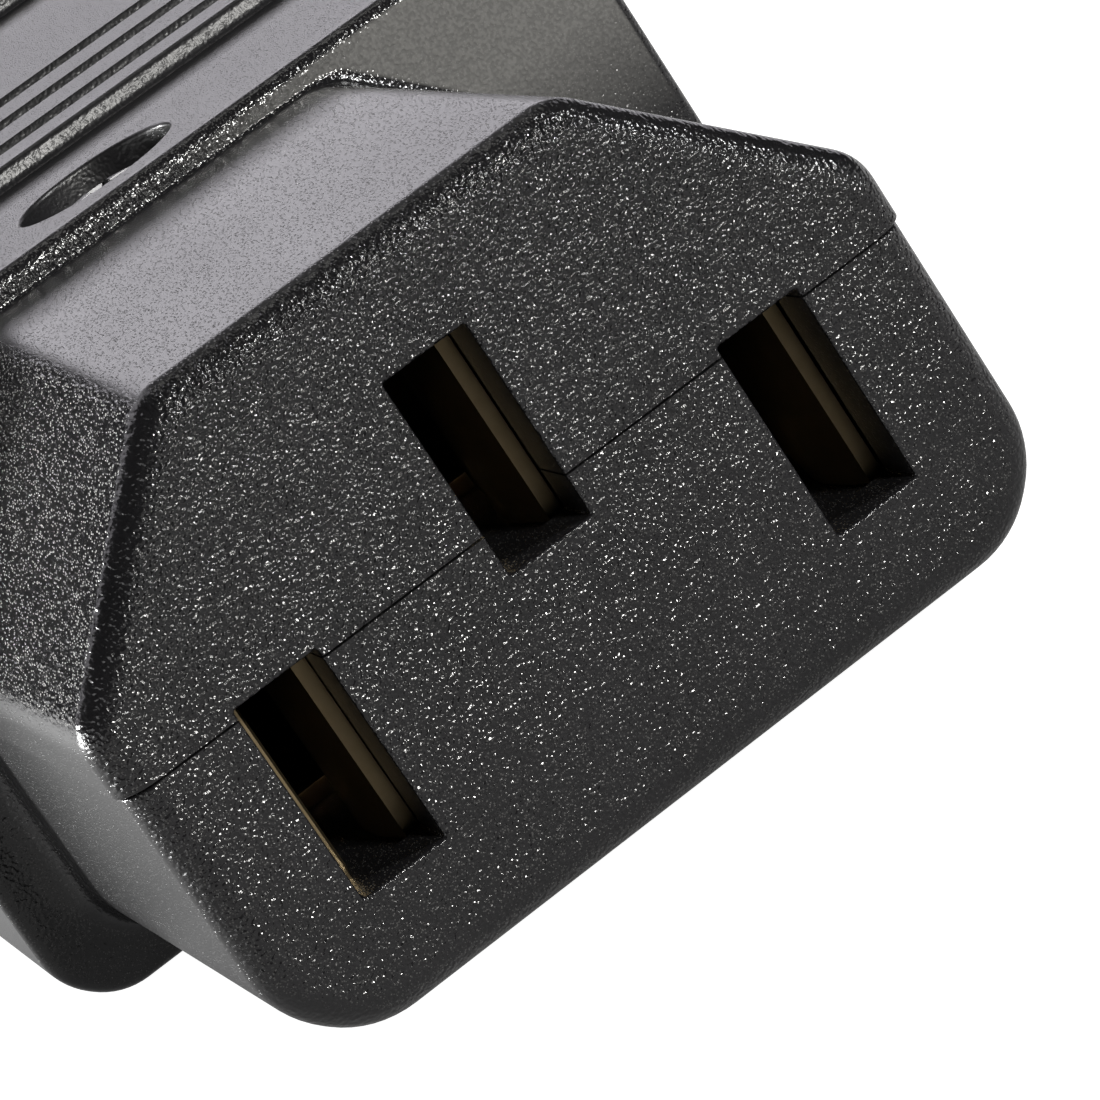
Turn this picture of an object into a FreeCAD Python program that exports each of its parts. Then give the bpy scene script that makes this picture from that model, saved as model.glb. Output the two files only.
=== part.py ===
"""Rewireable C13-pattern power connector, in millimetres.

Frame: the origin is on the engagement face, midway between the line and neutral
pins. +X runs from neutral to line, +Y runs back into the connector and +Z runs
up, from the pin row towards the earth pin and the two cut corners.

Every driving size is a cell of the spreadsheet "Sizes". Sketches, pads and
placements are bound to those cells, so a changed cell changes the model.
"""

import FreeCAD, Part
import math
import os

import Sketcher

DOC = FreeCAD.newDocument("C13Connector")
SHEET = DOC.addObject("Spreadsheet::Sheet", "Sizes")

# ---------------------------------------------------------------- driving sizes
DRIVING_SIZES = (
    # nose: the block with the three slots that enters the inlet
    ("nose_length", 17.0, "engagement face to collar"),
    ("nose_half_width", 11.3, "half the width at the face, lower half"),
    ("nose_below", 5.65, "pin row down to the underside"),
    ("nose_above", 9.65, "pin row up to the flat top"),
    ("nose_cut", 5.47, "leg of each 45 degree corner at the face"),
    ("nose_top_radius", 1.0, "rounding of the cut corners"),
    ("nose_bottom_radius", 2.75, "rounding of the lower corners"),
    ("nose_face_radius", 0.7, "rounding round the engagement face"),
    ("nose_root_bevel", 0.2, "bevel between nose and collar"),
    ("side_draft", 0.15, "growth of each side towards the collar"),
    ("top_draft", 0.5, "growth of the top towards the collar"),
    ("bottom_draft", 0.1, "growth of the underside towards the collar"),
    ("cover_overhang", 0.12, "cover stands this far proud of the base"),
    # the plane where the halves meet
    ("parting_height", 2.4, "pin row up to the base's upper face"),
    ("parting_gap", 0.06, "gap between the halves"),
    # pin pattern
    ("pin_spacing", 14.0, "line pin to neutral pin"),
    ("earth_height", 4.0, "pin row up to the earth pin"),
    ("slot_width", 2.36, "slot across the pin's thickness"),
    ("slot_tall", 5.36, "slot along the pin's width"),
    ("front_wall", 1.8, "engagement face to the contact cavities"),
    # collar behind the nose
    ("collar_length", 10.5, "collar along the connector"),
    ("collar_step", 2.05, "collar stands out at each side of the nose"),
    ("collar_rise", 0.8, "collar stands above the nose"),
    ("collar_drop", 0.55, "collar stands below the nose"),
    ("corner_radius", 2.0, "rounding of the long corners"),
    ("collar_bevel", 0.3, "bevel of the collar's front edge"),
    # grip and rear block
    ("grip_length", 27.1, "grip section along the connector"),
    ("grip_step", 0.6, "grip stands above the collar"),
    ("rear_length", 8.4, "rear block along the connector"),
    ("rear_step", 0.75, "rear block stands above the grip"),
    ("rear_bevel", 0.8, "bevel round the rear face"),
    ("groove_first", 2.75, "grip's front to the first groove's middle"),
    ("groove_pitch", 3.9, "groove to groove"),
    ("groove_width", 1.3, "groove along the connector"),
    ("groove_depth", 0.5, "groove into the grip"),
    # hollows of the halves
    ("wall", 2.0, "side wall"),
    ("floor", 2.0, "base floor"),
    ("roof", 2.2, "cover roof over the wiring bay"),
    ("channel_width", 4.4, "contact cavity"),
    ("channel_headroom", 0.7, "cavity above the contact leaves"),
    # contacts, folded from sheet
    ("sheet_thickness", 0.5, "contact sheet"),
    ("leaf_thickness", 0.4, "spring leaf"),
    ("contact_half_width", 1.7, "half the folded contact's width"),
    ("contact_drop", 2.9, "pin axis down to the contact's seat"),
    ("leaf_above", 2.3, "pin axis up to the leaf's edge"),
    ("leaf_tip", 2.2, "engagement face to the leaf tips"),
    ("leaf_pinch", 4.3, "engagement face to the narrowest gap"),
    ("leaf_root", 9.0, "engagement face to the fold"),
    ("leaf_end", 14.0, "engagement face to the leaf's end"),
    ("pinch_half_gap", 0.3, "half the narrowest gap"),
    ("tip_half_gap", 0.9, "half the gap at the flared tips"),
    # terminals
    ("terminal_inset", 3.7, "grip's front to line and neutral terminals"),
    ("earth_terminal_inset", 11.7, "grip's front to the earth terminal"),
    ("terminal_side_gap", 0.5, "terminal pad to the side wall"),
    ("earth_screw_hole_radius", 2.0, "hole in the earth tail round the front screw"),
    ("pad_width", 5.6, "terminal pad across"),
    ("pad_length", 7.0, "terminal pad along"),
    ("washer_width", 5.0, "square clamp washer"),
    ("washer_thickness", 0.8, "square clamp washer"),
    ("nut_width", 5.5, "square nut plate"),
    ("nut_thickness", 1.6, "square nut plate"),
    ("fit_gap", 0.1, "clearance round seated pieces"),
    # screws
    ("screw_radius", 1.45, "screw shank"),
    ("thread_gap", 0.05, "shank to its tapped hole, radial"),
    ("clear_gap", 0.2, "shank to its clearance hole, radial"),
    ("head_radius", 2.15, "screw head"),
    ("head_height", 1.7, "screw head"),
    ("recess_span", 2.6, "cross recess across"),
    ("recess_width", 0.6, "cross recess arm"),
    ("recess_depth", 1.0, "cross recess"),
    ("tip_length", 0.8, "screw point"),
    ("terminal_screw_length", 3.4, "under the head"),
    ("housing_screw_length", 12.0, "under the head"),
    ("clamp_screw_length", 8.0, "under the head"),
    ("head_sink", 0.4, "housing screw heads below the surface"),
    ("screw_hole_radius", 2.35, "hole for a housing screw's head"),
    ("front_screw_inset", 4.1, "collar's front to the front screw"),
    ("rear_screw_inset", 4.2, "rear face to the rear screws"),
    ("rear_screw_gap", 1.75, "cable entry to the rear screws' shanks"),
    # cord clamp and cable entry
    ("entry_radius", 4.1, "cable entry"),
    ("entry_bevel", 0.8, "bevel round the mouth of the cable entry"),
    ("clamp_inset", 4.6, "rear block's front to the cord clamp's middle"),
    ("clamp_length", 5.0, "cord clamp along the cord"),
    ("clamp_inner_radius", 3.8, "cord clamp's arch"),
    ("clamp_thickness", 1.5, "cord clamp's arch and ears"),
    ("clamp_head_gap", 0.25, "arch to the clamp screws' heads"),
    ("ear_reach", 2.1, "clamp screw to the end of its ear"),
)


class Size:
    """A length as a number together with the sheet expression that gives it."""

    def __init__(self, value, text):
        self.value = value
        self.text = text

    def __add__(self, other):
        other = as_size(other)
        return Size(self.value + other.value, f"({self.text} + {other.text})")

    def __sub__(self, other):
        other = as_size(other)
        return Size(self.value - other.value, f"({self.text} - {other.text})")

    def __mul__(self, factor):
        return Size(self.value * factor, f"({self.text} * {factor:.9f})")

    def __neg__(self):
        return self * -1

    def __truediv__(self, divisor):
        return self * (1.0 / divisor)


def as_size(item):
    """A plain number becomes a Size, and a Size stays as it is."""
    if isinstance(item, Size):
        return item
    return Size(float(item), f"{float(item):.9f}")


def fill_sheet():
    """Write each driving size as one cell with its alias, and return the sizes by name."""
    sizes = {}
    for row, (name, value, note) in enumerate(DRIVING_SIZES, start=1):
        SHEET.set(f"A{row}", name)
        SHEET.set(f"B{row}", f"{value}")
        SHEET.set(f"C{row}", note)
        SHEET.setAlias(f"B{row}", name)
        sizes[name] = Size(value, f"Sizes.{name}")
    DOC.recompute()
    return sizes


S = fill_sheet()
ZERO = as_size(0)

# ---------------------------------------------------------------- places shared by several pieces
PART_Z = S["parting_height"]
COVER_Z = PART_Z + S["parting_gap"]
BASE_Z = -S["nose_below"] - S["bottom_draft"] - S["collar_drop"]
PIN_X = S["pin_spacing"] / 2
COLLAR_HALF = S["nose_half_width"] + S["side_draft"] + S["collar_step"]
COLLAR_Y = S["nose_length"]
GRIP_Y = COLLAR_Y + S["collar_length"]
REAR_Y = GRIP_Y + S["grip_length"]
END_Y = REAR_Y + S["rear_length"]
COLLAR_TOP = S["nose_above"] + S["top_draft"] + S["collar_rise"]
GRIP_TOP = COLLAR_TOP + S["grip_step"]
REAR_TOP = GRIP_TOP + S["rear_step"]
FLOOR_Z = BASE_Z + S["floor"]
POWER_SEAT = -S["contact_drop"]
EARTH_SEAT = S["earth_height"] - S["contact_drop"]
TERMINAL_X = COLLAR_HALF - S["wall"] - S["terminal_side_gap"] - S["pad_width"] / 2
TERMINAL_Y = GRIP_Y + S["terminal_inset"]
EARTH_TERMINAL_Y = GRIP_Y + S["earth_terminal_inset"]
FRONT_SCREW_Y = COLLAR_Y + S["front_screw_inset"]
REAR_SCREW_X = S["entry_radius"] + S["rear_screw_gap"] + S["screw_radius"]
REAR_SCREW_Y = END_Y - S["rear_screw_inset"]
CORD_Z = PART_Z
CLAMP_Y = REAR_Y - S["clamp_inset"]
CLAMP_OUTER = S["clamp_inner_radius"] + S["clamp_thickness"]
CLAMP_SCREW_X = CLAMP_OUTER + S["clamp_head_gap"] + S["head_radius"]
CLAMP_HALF = CLAMP_SCREW_X + S["ear_reach"]


# ---------------------------------------------------------------- document helpers
def bind(item, prop, size):
    """Bind one property of a document object to the sheet."""
    item.setExpression(prop, as_size(size).text)


def new_body(label):
    """An empty PartDesign body whose Label names the sub-part."""
    body = DOC.addObject("PartDesign::Body", "Body_" + label)
    body.Label = label
    return body


def place(body, x, y, z):
    """Move a finished body to a place given by sizes."""
    body.Placement = FreeCAD.Placement(FreeCAD.Vector(x.value, y.value, z.value), FreeCAD.Rotation())
    for axis, size in (("x", x), ("y", y), ("z", z)):
        bind(body, f"Placement.Base.{axis}", size)


def new_sketch(body, name, plane, offset=ZERO):
    """A sketch on one of the body's own origin planes, moved along the plane's normal.

    XY_Plane looks down on X right and Y up, at height offset. XZ_Plane has X right
    and Z up and its normal runs along -Y, so offset is given as a distance in +Y.
    """
    sketch = body.newObject("Sketcher::SketchObject", f"{body.Label}_{name}")
    origin_plane = [item for item in body.Origin.OriginFeatures if item.Role == plane][0]
    sketch.AttachmentSupport = [(origin_plane, "")]
    sketch.MapMode = "FlatFace"
    along = -offset if plane == "XZ_Plane" else offset
    bind(sketch, "AttachmentOffset.Base.z", along)
    return sketch


def pin_point(sketch, geometry, end, x, y):
    """Fix one end of a line, or the middle of a circle, at sheet sizes."""
    for kind, size in (("DistanceX", x), ("DistanceY", y)):
        index = sketch.addConstraint(Sketcher.Constraint(kind, -1, 1, geometry, end, size.value))
        sketch.setExpression(f"Constraints[{index}]", size.text)


def rounded_points(corners):
    """Turn corners (x, y, radius) into the ends of the straight runs and the arcs.

    A corner's two sides keep their directions when a size changes, so each tangent
    point lies at the corner plus a constant times the radius.
    """
    count = len(corners)
    pieces = []
    for index, (x, y, radius) in enumerate(corners):
        if radius is None:
            pieces.append(((x, y), (x, y), None))
            continue
        ends = []
        directions = []
        for other in (corners[index - 1], corners[(index + 1) % count]):
            dx = other[0].value - x.value
            dy = other[1].value - y.value
            length = math.hypot(dx, dy)
            directions.append((dx / length, dy / length))
        cosine = sum(a * b for a, b in zip(*directions))
        reach = 1.0 / math.tan(math.acos(cosine) / 2.0)
        for ux, uy in directions:
            ends.append((x + radius * (reach * ux), y + radius * (reach * uy)))
        pieces.append((ends[0], ends[1], radius))
    return pieces


def draw_outline(sketch, corners):
    """Closed outline through corners (x, y, radius), with radius None for a sharp one."""
    pieces = rounded_points([(as_size(x), as_size(y), radius) for x, y, radius in corners])
    count = len(pieces)
    for index in range(count):
        start = pieces[index][1]
        end = pieces[(index + 1) % count][0]
        a = FreeCAD.Vector(start[0].value, start[1].value, 0)
        b = FreeCAD.Vector(end[0].value, end[1].value, 0)
        line = sketch.addGeometry(Part.LineSegment(a, b))
        pin_point(sketch, line, 1, *start)
        pin_point(sketch, line, 2, *end)
        radius = pieces[(index + 1) % count][2]
        if radius is None:
            continue
        draw_corner(sketch, b, pieces[(index + 1) % count], corners[(index + 1) % count])
    close_corners(sketch)


def draw_corner(sketch, start, piece, corner):
    """Arc of a rounded corner, from the end of the line before it, always drawn counter-clockwise."""
    end = FreeCAD.Vector(piece[1][0].value, piece[1][1].value, 0)
    tip = FreeCAD.Vector(as_size(corner[0]).value, as_size(corner[1]).value, 0)
    radius = piece[2].value
    middle = (start + end) * 0.5
    inward = (middle - tip).normalize()
    half_chord = (end - start).Length / 2.0
    centre = middle + inward * math.sqrt(max(radius**2 - half_chord**2, 0.0))
    first, last = (math.atan2(point.y - centre.y, point.x - centre.x) for point in (start, end))
    sweep = (last - first) % (2 * math.pi)
    if sweep > math.pi:
        first, sweep = last, 2 * math.pi - sweep
    circle = Part.Circle(centre, FreeCAD.Vector(0, 0, 1), radius)
    arc = sketch.addGeometry(Part.ArcOfCircle(circle, first, first + sweep))
    index = sketch.addConstraint(Sketcher.Constraint("Radius", arc, radius))
    sketch.setExpression(f"Constraints[{index}]", piece[2].text)


def close_corners(sketch):
    """Join every arc to the ends of its neighbouring lines."""
    geometry = sketch.Geometry
    for index, item in enumerate(geometry):
        if item.TypeId != "Part::GeomArcOfCircle":
            continue
        for end, point in ((1, item.StartPoint), (2, item.EndPoint)):
            for other, line in enumerate(geometry):
                if line.TypeId != "Part::GeomLineSegment":
                    continue
                for line_end, line_point in ((1, line.StartPoint), (2, line.EndPoint)):
                    if point.distanceToPoint(line_point) < 1e-5:
                        sketch.addConstraint(Sketcher.Constraint("Coincident", index, end, other, line_end))


def draw_box(sketch, x0, x1, y0, y1):
    """Rectangle between two places on each axis."""
    draw_outline(sketch, ((x0, y0, None), (x1, y0, None), (x1, y1, None), (x0, y1, None)))


def draw_circle(sketch, x, y, radius):
    """Circle with its middle at a place."""
    x, y = as_size(x), as_size(y)
    circle = Part.Circle(FreeCAD.Vector(x.value, y.value, 0), FreeCAD.Vector(0, 0, 1), radius.value)
    index = sketch.addGeometry(circle)
    pin_point(sketch, index, 3, x, y)
    constraint = sketch.addConstraint(Sketcher.Constraint("Radius", index, radius.value))
    sketch.setExpression(f"Constraints[{constraint}]", radius.text)


def pad(body, sketch, length, reverse=False):
    """Grow a sketch by a length along its normal."""
    feature = body.newObject("PartDesign::Pad", sketch.Name + "_pad")
    feature.Profile = sketch
    bind(feature, "Length", length)
    feature.Reversed = reverse
    return feature


def pocket(body, sketch, depth, reverse=False):
    """Cut a sketch by a depth against its normal, or along it when reversed."""
    feature = body.newObject("PartDesign::Pocket", sketch.Name + "_pocket")
    feature.Profile = sketch
    bind(feature, "Length", depth)
    feature.Reversed = reverse
    return feature


def dress_edges(body, kind, name, wanted):
    """Fillet or chamfer on the edges of the body's present shape that the test picks."""
    DOC.recompute()
    base = body.Tip
    names = [f"Edge{i + 1}" for i, edge in enumerate(base.Shape.Edges) if wanted(edge)]
    if not names:
        raise RuntimeError(f"{name}: no edge found")
    feature = body.newObject(f"PartDesign::{kind}", f"{body.Label}_{name}")
    feature.Base = (base, names)
    return feature


def round_edges(body, name, radius, wanted):
    """Round the edges that the test picks."""
    bind(dress_edges(body, "Fillet", name, wanted), "Radius", radius)


def bevel_edges(body, name, size, wanted):
    """Bevel the edges that the test picks at 45 degrees."""
    bind(dress_edges(body, "Chamfer", name, wanted), "Size", size)


def on_plane(edge, axis, place_mm, slack=1e-4):
    """Whether the whole edge lies at one place along x, y or z."""
    box = edge.BoundBox
    low = getattr(box, axis.upper() + "Min")
    high = getattr(box, axis.upper() + "Max")
    return abs(low - place_mm) < slack and abs(high - place_mm) < slack


# ---------------------------------------------------------------- housing halves
OVERLAP = as_size(0.5)
POWER_SIDES = (1, -1)


def half_outline(sketch, half_width, meet_z, far_z, radius):
    """Section of a half: flat where the halves meet, with two rounded corners away from it."""
    corners = ((-half_width, meet_z, None), (half_width, meet_z, None))
    draw_outline(sketch, corners + ((half_width, far_z, radius), (-half_width, far_z, radius)))


def add_nose(body, half_width, meet_z, face_z, root_z):
    """Tapered block of the nose, from the engagement face back to the collar."""
    nose = body.newObject("PartDesign::AdditiveWedge", body.Label + "_nose")
    root_half = half_width + S["side_draft"]
    low, high = sorted((meet_z, face_z), key=lambda size: size.value)
    root_low, root_high = sorted((meet_z, root_z), key=lambda size: size.value)
    limits = (
        ("Ymin", ZERO), ("Ymax", COLLAR_Y),
        ("Xmin", -half_width), ("Xmax", half_width),
        ("Zmin", low), ("Zmax", high),
        ("X2min", -root_half), ("X2max", root_half),
        ("Z2min", root_low), ("Z2max", root_high),
    )
    for name, size in limits:
        setattr(nose, name, size.value)
        bind(nose, name, size)


def add_section(body, name, y0, length, half_width, meet_z, far_z):
    """Straight section of a half behind the nose, with two rounded long corners."""
    sketch = new_sketch(body, name, "XZ_Plane", y0)
    half_outline(sketch, half_width, meet_z, far_z, S["corner_radius"])
    pad(body, sketch, length, reverse=True)


def round_nose_corners(body, radius, meet_z):
    """Round the nose's long edges, except the two on the plane where the halves meet."""
    meet = meet_z.value

    def long_edge(edge):
        box = edge.BoundBox
        away = abs(box.Center.z - meet) > 0.5
        return away and box.YLength > 5 * max(box.XLength, box.ZLength)

    round_edges(body, "nose_corners", radius, long_edge)


def dress_ends(body, meet_z, far_z, half_width):
    """Round the engagement face, and bevel the nose's root, the collar's rim and the rear rim."""
    meet = meet_z.value
    collar_y = COLLAR_Y.value
    end_y = END_Y.value

    def on_outline(edge, y):
        return on_plane(edge, "y", y) and not on_plane(edge, "z", meet)

    def at_rim(edge):
        box = edge.BoundBox
        reach = max(abs(box.XMin), abs(box.XMax))
        far = min(abs(box.ZMin - far_z.value), abs(box.ZMax - far_z.value))
        return on_outline(edge, collar_y) and (abs(reach - half_width.value) < 1e-4 or far < 1e-4)

    def at_root(edge):
        return on_outline(edge, collar_y) and not at_rim(edge)

    round_edges(body, "face_round", S["nose_face_radius"], lambda edge: on_outline(edge, 0.0))
    bevel_edges(body, "root_bevel", S["nose_root_bevel"], at_root)
    bevel_edges(body, "collar_bevel", S["collar_bevel"], at_rim)
    bevel_edges(body, "rear_bevel", S["rear_bevel"], lambda edge: on_outline(edge, end_y))


def cut_slots(body):
    """Three upright pin slots through the front wall."""
    sketch = new_sketch(body, "slots", "XZ_Plane")
    half_width = S["slot_width"] / 2
    half_tall = S["slot_tall"] / 2
    for x, z in ((PIN_X, ZERO), (-PIN_X, ZERO), (ZERO, S["earth_height"])):
        draw_box(sketch, x - half_width, x + half_width, z - half_tall, z + half_tall)
    pocket(body, sketch, S["front_wall"] + OVERLAP)


def cut_from_meeting_plane(body, name, meet_z, depth, upwards, draw):
    """Pocket from the plane where the halves meet, down into the base or up into the cover."""
    sketch = new_sketch(body, name, "XY_Plane", meet_z)
    draw(sketch)
    pocket(body, sketch, depth, reverse=upwards)


def draw_power_channels(sketch):
    """Line and neutral contact cavities, from the front wall back into the wiring bay."""
    half = S["channel_width"] / 2
    for side in POWER_SIDES:
        x = PIN_X * side
        draw_box(sketch, x - half, x + half, S["front_wall"], GRIP_Y + OVERLAP)


def draw_earth_channel(sketch):
    """Earth contact cavity, with its wider tail channel back into the wiring bay."""
    narrow = S["channel_width"] / 2
    wide = S["pad_width"] / 2 + S["fit_gap"]
    step = S["leaf_end"] + S["sheet_thickness"]
    draw_outline(
        sketch,
        (
            (-narrow, S["front_wall"], None),
            (narrow, S["front_wall"], None),
            (narrow, step, None),
            (wide, step, None),
            (wide, GRIP_Y + OVERLAP, None),
            (-wide, GRIP_Y + OVERLAP, None),
            (-wide, step, None),
            (-narrow, step, None),
        ),
    )


def draw_earth_cavity(sketch):
    """Room for the earth leaves in the cover's nose."""
    half = S["channel_width"] / 2
    draw_box(sketch, -half, half, S["front_wall"], S["leaf_end"] + S["sheet_thickness"])


def draw_bay(sketch):
    """Wiring bay between the collar and the rear block."""
    half = COLLAR_HALF - S["wall"]
    draw_box(sketch, -half, half, GRIP_Y, REAR_Y)


def cut_cable_entry(body):
    """Round cable entry through the rear block, with a bevelled mouth."""
    sketch = new_sketch(body, "cable_entry", "XZ_Plane", END_Y)
    draw_circle(sketch, ZERO, CORD_Z, S["entry_radius"])
    pocket(body, sketch, S["rear_length"] + OVERLAP, reverse=True)
    reach = S["entry_radius"].value + 1e-3
    end_y = END_Y.value

    def at_mouth(edge):
        box = edge.BoundBox
        return on_plane(edge, "y", end_y) and max(-box.XMin, box.XMax) < reach and box.ZLength > 1e-3

    bevel_edges(body, "entry_mouth", S["entry_bevel"], at_mouth)


def add_pillar(body, name, x0, x1, y0, y1, top):
    """Block that rises from the base's floor."""
    sketch = new_sketch(body, name, "XY_Plane", FLOOR_Z)
    draw_box(sketch, x0, x1, y0, y1)
    pad(body, sketch, top - FLOOR_Z)


def terminal_places():
    """Name, x, y and seat height of each terminal."""
    return (
        ("line", TERMINAL_X, TERMINAL_Y, POWER_SEAT),
        ("neutral", -TERMINAL_X, TERMINAL_Y, POWER_SEAT),
        ("earth", ZERO, EARTH_TERMINAL_Y, EARTH_SEAT),
    )


def cut_terminal_seats(body):
    """Pocket for each square nut plate, and room below it for the screw's point."""
    half = S["nut_width"] / 2 + S["fit_gap"] / 2
    stick_out = S["terminal_screw_length"] - S["sheet_thickness"] - S["washer_thickness"]
    for name, x, y, seat in terminal_places():
        nest = new_sketch(body, name + "_nut_nest", "XY_Plane", seat)
        draw_box(nest, x - half, x + half, y - half, y + half)
        pocket(body, nest, S["nut_thickness"])
        relief = new_sketch(body, name + "_point_relief", "XY_Plane", seat)
        draw_circle(relief, x, y, S["screw_radius"] + S["clear_gap"])
        pocket(body, relief, stick_out + S["clear_gap"])


def housing_screw_places():
    """Name, x, y and outer surface height of each screw that joins the halves."""
    return (
        ("front_housing_screw", ZERO, FRONT_SCREW_Y, COLLAR_TOP),
        ("right_rear_housing_screw", REAR_SCREW_X, REAR_SCREW_Y, REAR_TOP),
        ("left_rear_housing_screw", -REAR_SCREW_X, REAR_SCREW_Y, REAR_TOP),
    )


def head_seat(surface):
    """Height of the face under a housing screw's head."""
    return surface - S["head_sink"] - S["head_height"]


def build_lower_housing():
    """Base half: tray with contact channels, terminal pillars, cord cradle and screw bosses."""
    body = new_body("lower_housing")
    add_nose(body, S["nose_half_width"], PART_Z, -S["nose_below"], -S["nose_below"] - S["bottom_draft"])
    round_nose_corners(body, S["nose_bottom_radius"], PART_Z)
    add_section(body, "body", COLLAR_Y, END_Y - COLLAR_Y, COLLAR_HALF, PART_Z, BASE_Z)
    dress_ends(body, PART_Z, BASE_Z, COLLAR_HALF)
    cut_from_meeting_plane(body, "bay", PART_Z, PART_Z - FLOOR_Z, False, draw_bay)
    cut_from_meeting_plane(body, "power_channels", PART_Z, PART_Z - POWER_SEAT, False, draw_power_channels)
    cut_from_meeting_plane(body, "earth_channel", PART_Z, PART_Z - EARTH_SEAT, False, draw_earth_channel)
    cut_slots(body)
    add_base_blocks(body)
    cut_terminal_seats(body)
    cut_cord_cradle(body)
    cut_cable_entry(body)
    cut_pilot_holes(body)
    return body


def add_base_blocks(body):
    """Pillars under the terminals and the block that carries the cord clamp."""
    half_pad = S["pad_length"] / 2
    inner = TERMINAL_X - S["pad_width"] / 2
    outer = COLLAR_HALF - S["wall"] / 2
    pillar_end = TERMINAL_Y + half_pad
    for side, name in zip(POWER_SIDES, ("line_pillar", "neutral_pillar")):
        edges = sorted((inner * side, outer * side), key=lambda size: size.value)
        add_pillar(body, name, edges[0], edges[1], GRIP_Y - OVERLAP, pillar_end, POWER_SEAT)
    half = S["pad_width"] / 2
    front, rear = EARTH_TERMINAL_Y - half_pad, EARTH_TERMINAL_Y + half_pad
    add_pillar(body, "earth_pillar", -half, half, front, rear, EARTH_SEAT)
    front, rear = CLAMP_Y - S["clamp_length"] / 2, CLAMP_Y + S["clamp_length"] / 2
    add_pillar(body, "clamp_block", -CLAMP_HALF, CLAMP_HALF, front, rear, PART_Z)


def cut_cord_cradle(body):
    """Half-round cradle for the cord across the clamp block."""
    sketch = new_sketch(body, "cradle", "XZ_Plane", CLAMP_Y - S["clamp_length"] / 2)
    draw_circle(sketch, ZERO, CORD_Z, S["clamp_inner_radius"])
    pocket(body, sketch, S["clamp_length"])


def cut_pilot_holes(body):
    """Holes in the base that the housing and clamp screws cut their threads in."""
    radius = S["screw_radius"] + S["thread_gap"]
    for name, x, y, surface in housing_screw_places():
        point = head_seat(surface) - S["housing_screw_length"]
        sketch = new_sketch(body, name + "_pilot", "XY_Plane", PART_Z)
        draw_circle(sketch, x, y, radius)
        pocket(body, sketch, PART_Z - point + S["clear_gap"])
    sketch = new_sketch(body, "clamp_pilots", "XY_Plane", PART_Z)
    for side in POWER_SIDES:
        draw_circle(sketch, CLAMP_SCREW_X * side, CLAMP_Y, radius)
    pocket(body, sketch, S["clamp_screw_length"] - S["clamp_thickness"] + S["clear_gap"])


def build_upper_housing():
    """Cover half: cut-corner nose, collar, grooved grip and rear block over the wiring bay."""
    body = new_body("upper_housing")
    half = COLLAR_HALF + S["cover_overhang"]
    nose_half = S["nose_half_width"] + S["cover_overhang"]
    add_nose(body, nose_half, COVER_Z, S["nose_above"], S["nose_above"] + S["top_draft"])
    cut_nose_corners(body, nose_half)
    round_nose_corners(body, S["nose_top_radius"], COVER_Z)
    add_section(body, "collar", COLLAR_Y, S["collar_length"], half, COVER_Z, COLLAR_TOP)
    add_section(body, "grip", GRIP_Y, S["grip_length"], half, COVER_Z, GRIP_TOP)
    add_section(body, "rear", REAR_Y, S["rear_length"], half, COVER_Z, REAR_TOP)
    dress_ends(body, COVER_Z, COLLAR_TOP, half)
    cut_grip_grooves(body)
    cut_from_meeting_plane(body, "bay", COVER_Z, GRIP_TOP - S["roof"] - COVER_Z, True, draw_bay)
    leaf_room = S["leaf_above"] + S["channel_headroom"]
    cut_from_meeting_plane(body, "power_channels", COVER_Z, leaf_room - COVER_Z, True, draw_power_channels)
    earth_room = S["earth_height"] + leaf_room
    cut_from_meeting_plane(body, "earth_cavity", COVER_Z, earth_room - COVER_Z, True, draw_earth_cavity)
    cut_slots(body)
    cut_cable_entry(body)
    cut_screw_holes(body)
    return body


def cut_nose_corners(body, nose_half):
    """Plane 45 degree cuts along both upper corners of the nose."""
    sketch = new_sketch(body, "corner_cuts", "XZ_Plane")
    leg = S["nose_cut"] + S["top_draft"] + S["side_draft"]
    top = S["nose_above"]
    for side in POWER_SIDES:
        outer = nose_half + S["side_draft"] + S["top_draft"]
        corners = (
            (nose_half - S["nose_cut"], top),
            (nose_half - leg, top + leg - S["nose_cut"]),
            (outer, top + leg - S["nose_cut"]),
            (outer, top - S["nose_cut"] - S["side_draft"] - S["top_draft"]),
        )
        draw_outline(sketch, [(x * side, z, None) for x, z in corners])
    pocket(body, sketch, S["nose_length"])


def cut_grip_grooves(body):
    """Three straight grip grooves across the top, as one pocket and a linear pattern."""
    wide = COLLAR_HALF + OVERLAP
    middle = GRIP_Y + S["groove_first"]
    half = S["groove_width"] / 2
    sketch = new_sketch(body, "groove", "XY_Plane", GRIP_TOP)
    draw_box(sketch, -wide, wide, middle - half, middle + half)
    first = pocket(body, sketch, S["groove_depth"])
    pattern = body.newObject("PartDesign::LinearPattern", "groove_pattern")
    pattern.Originals = [first]
    along = [item for item in body.Origin.OriginFeatures if item.Role == "Y_Axis"][0]
    pattern.Direction = (along, [""])
    pattern.Occurrences = 3
    bind(pattern, "Length", S["groove_pitch"] * 2)
    body.Tip = pattern
    DOC.recompute()


def cut_screw_holes(body):
    """Counterbored clearance holes for the screws that join the halves."""
    for name, x, y, surface in housing_screw_places():
        bore = new_sketch(body, name + "_counterbore", "XY_Plane", surface)
        draw_circle(bore, x, y, S["screw_hole_radius"])
        pocket(body, bore, S["head_sink"] + S["head_height"])
        hole = new_sketch(body, name + "_hole", "XY_Plane", surface)
        draw_circle(hole, x, y, S["screw_radius"] + S["clear_gap"])
        pocket(body, hole, surface - COVER_Z + S["clear_gap"])


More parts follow.
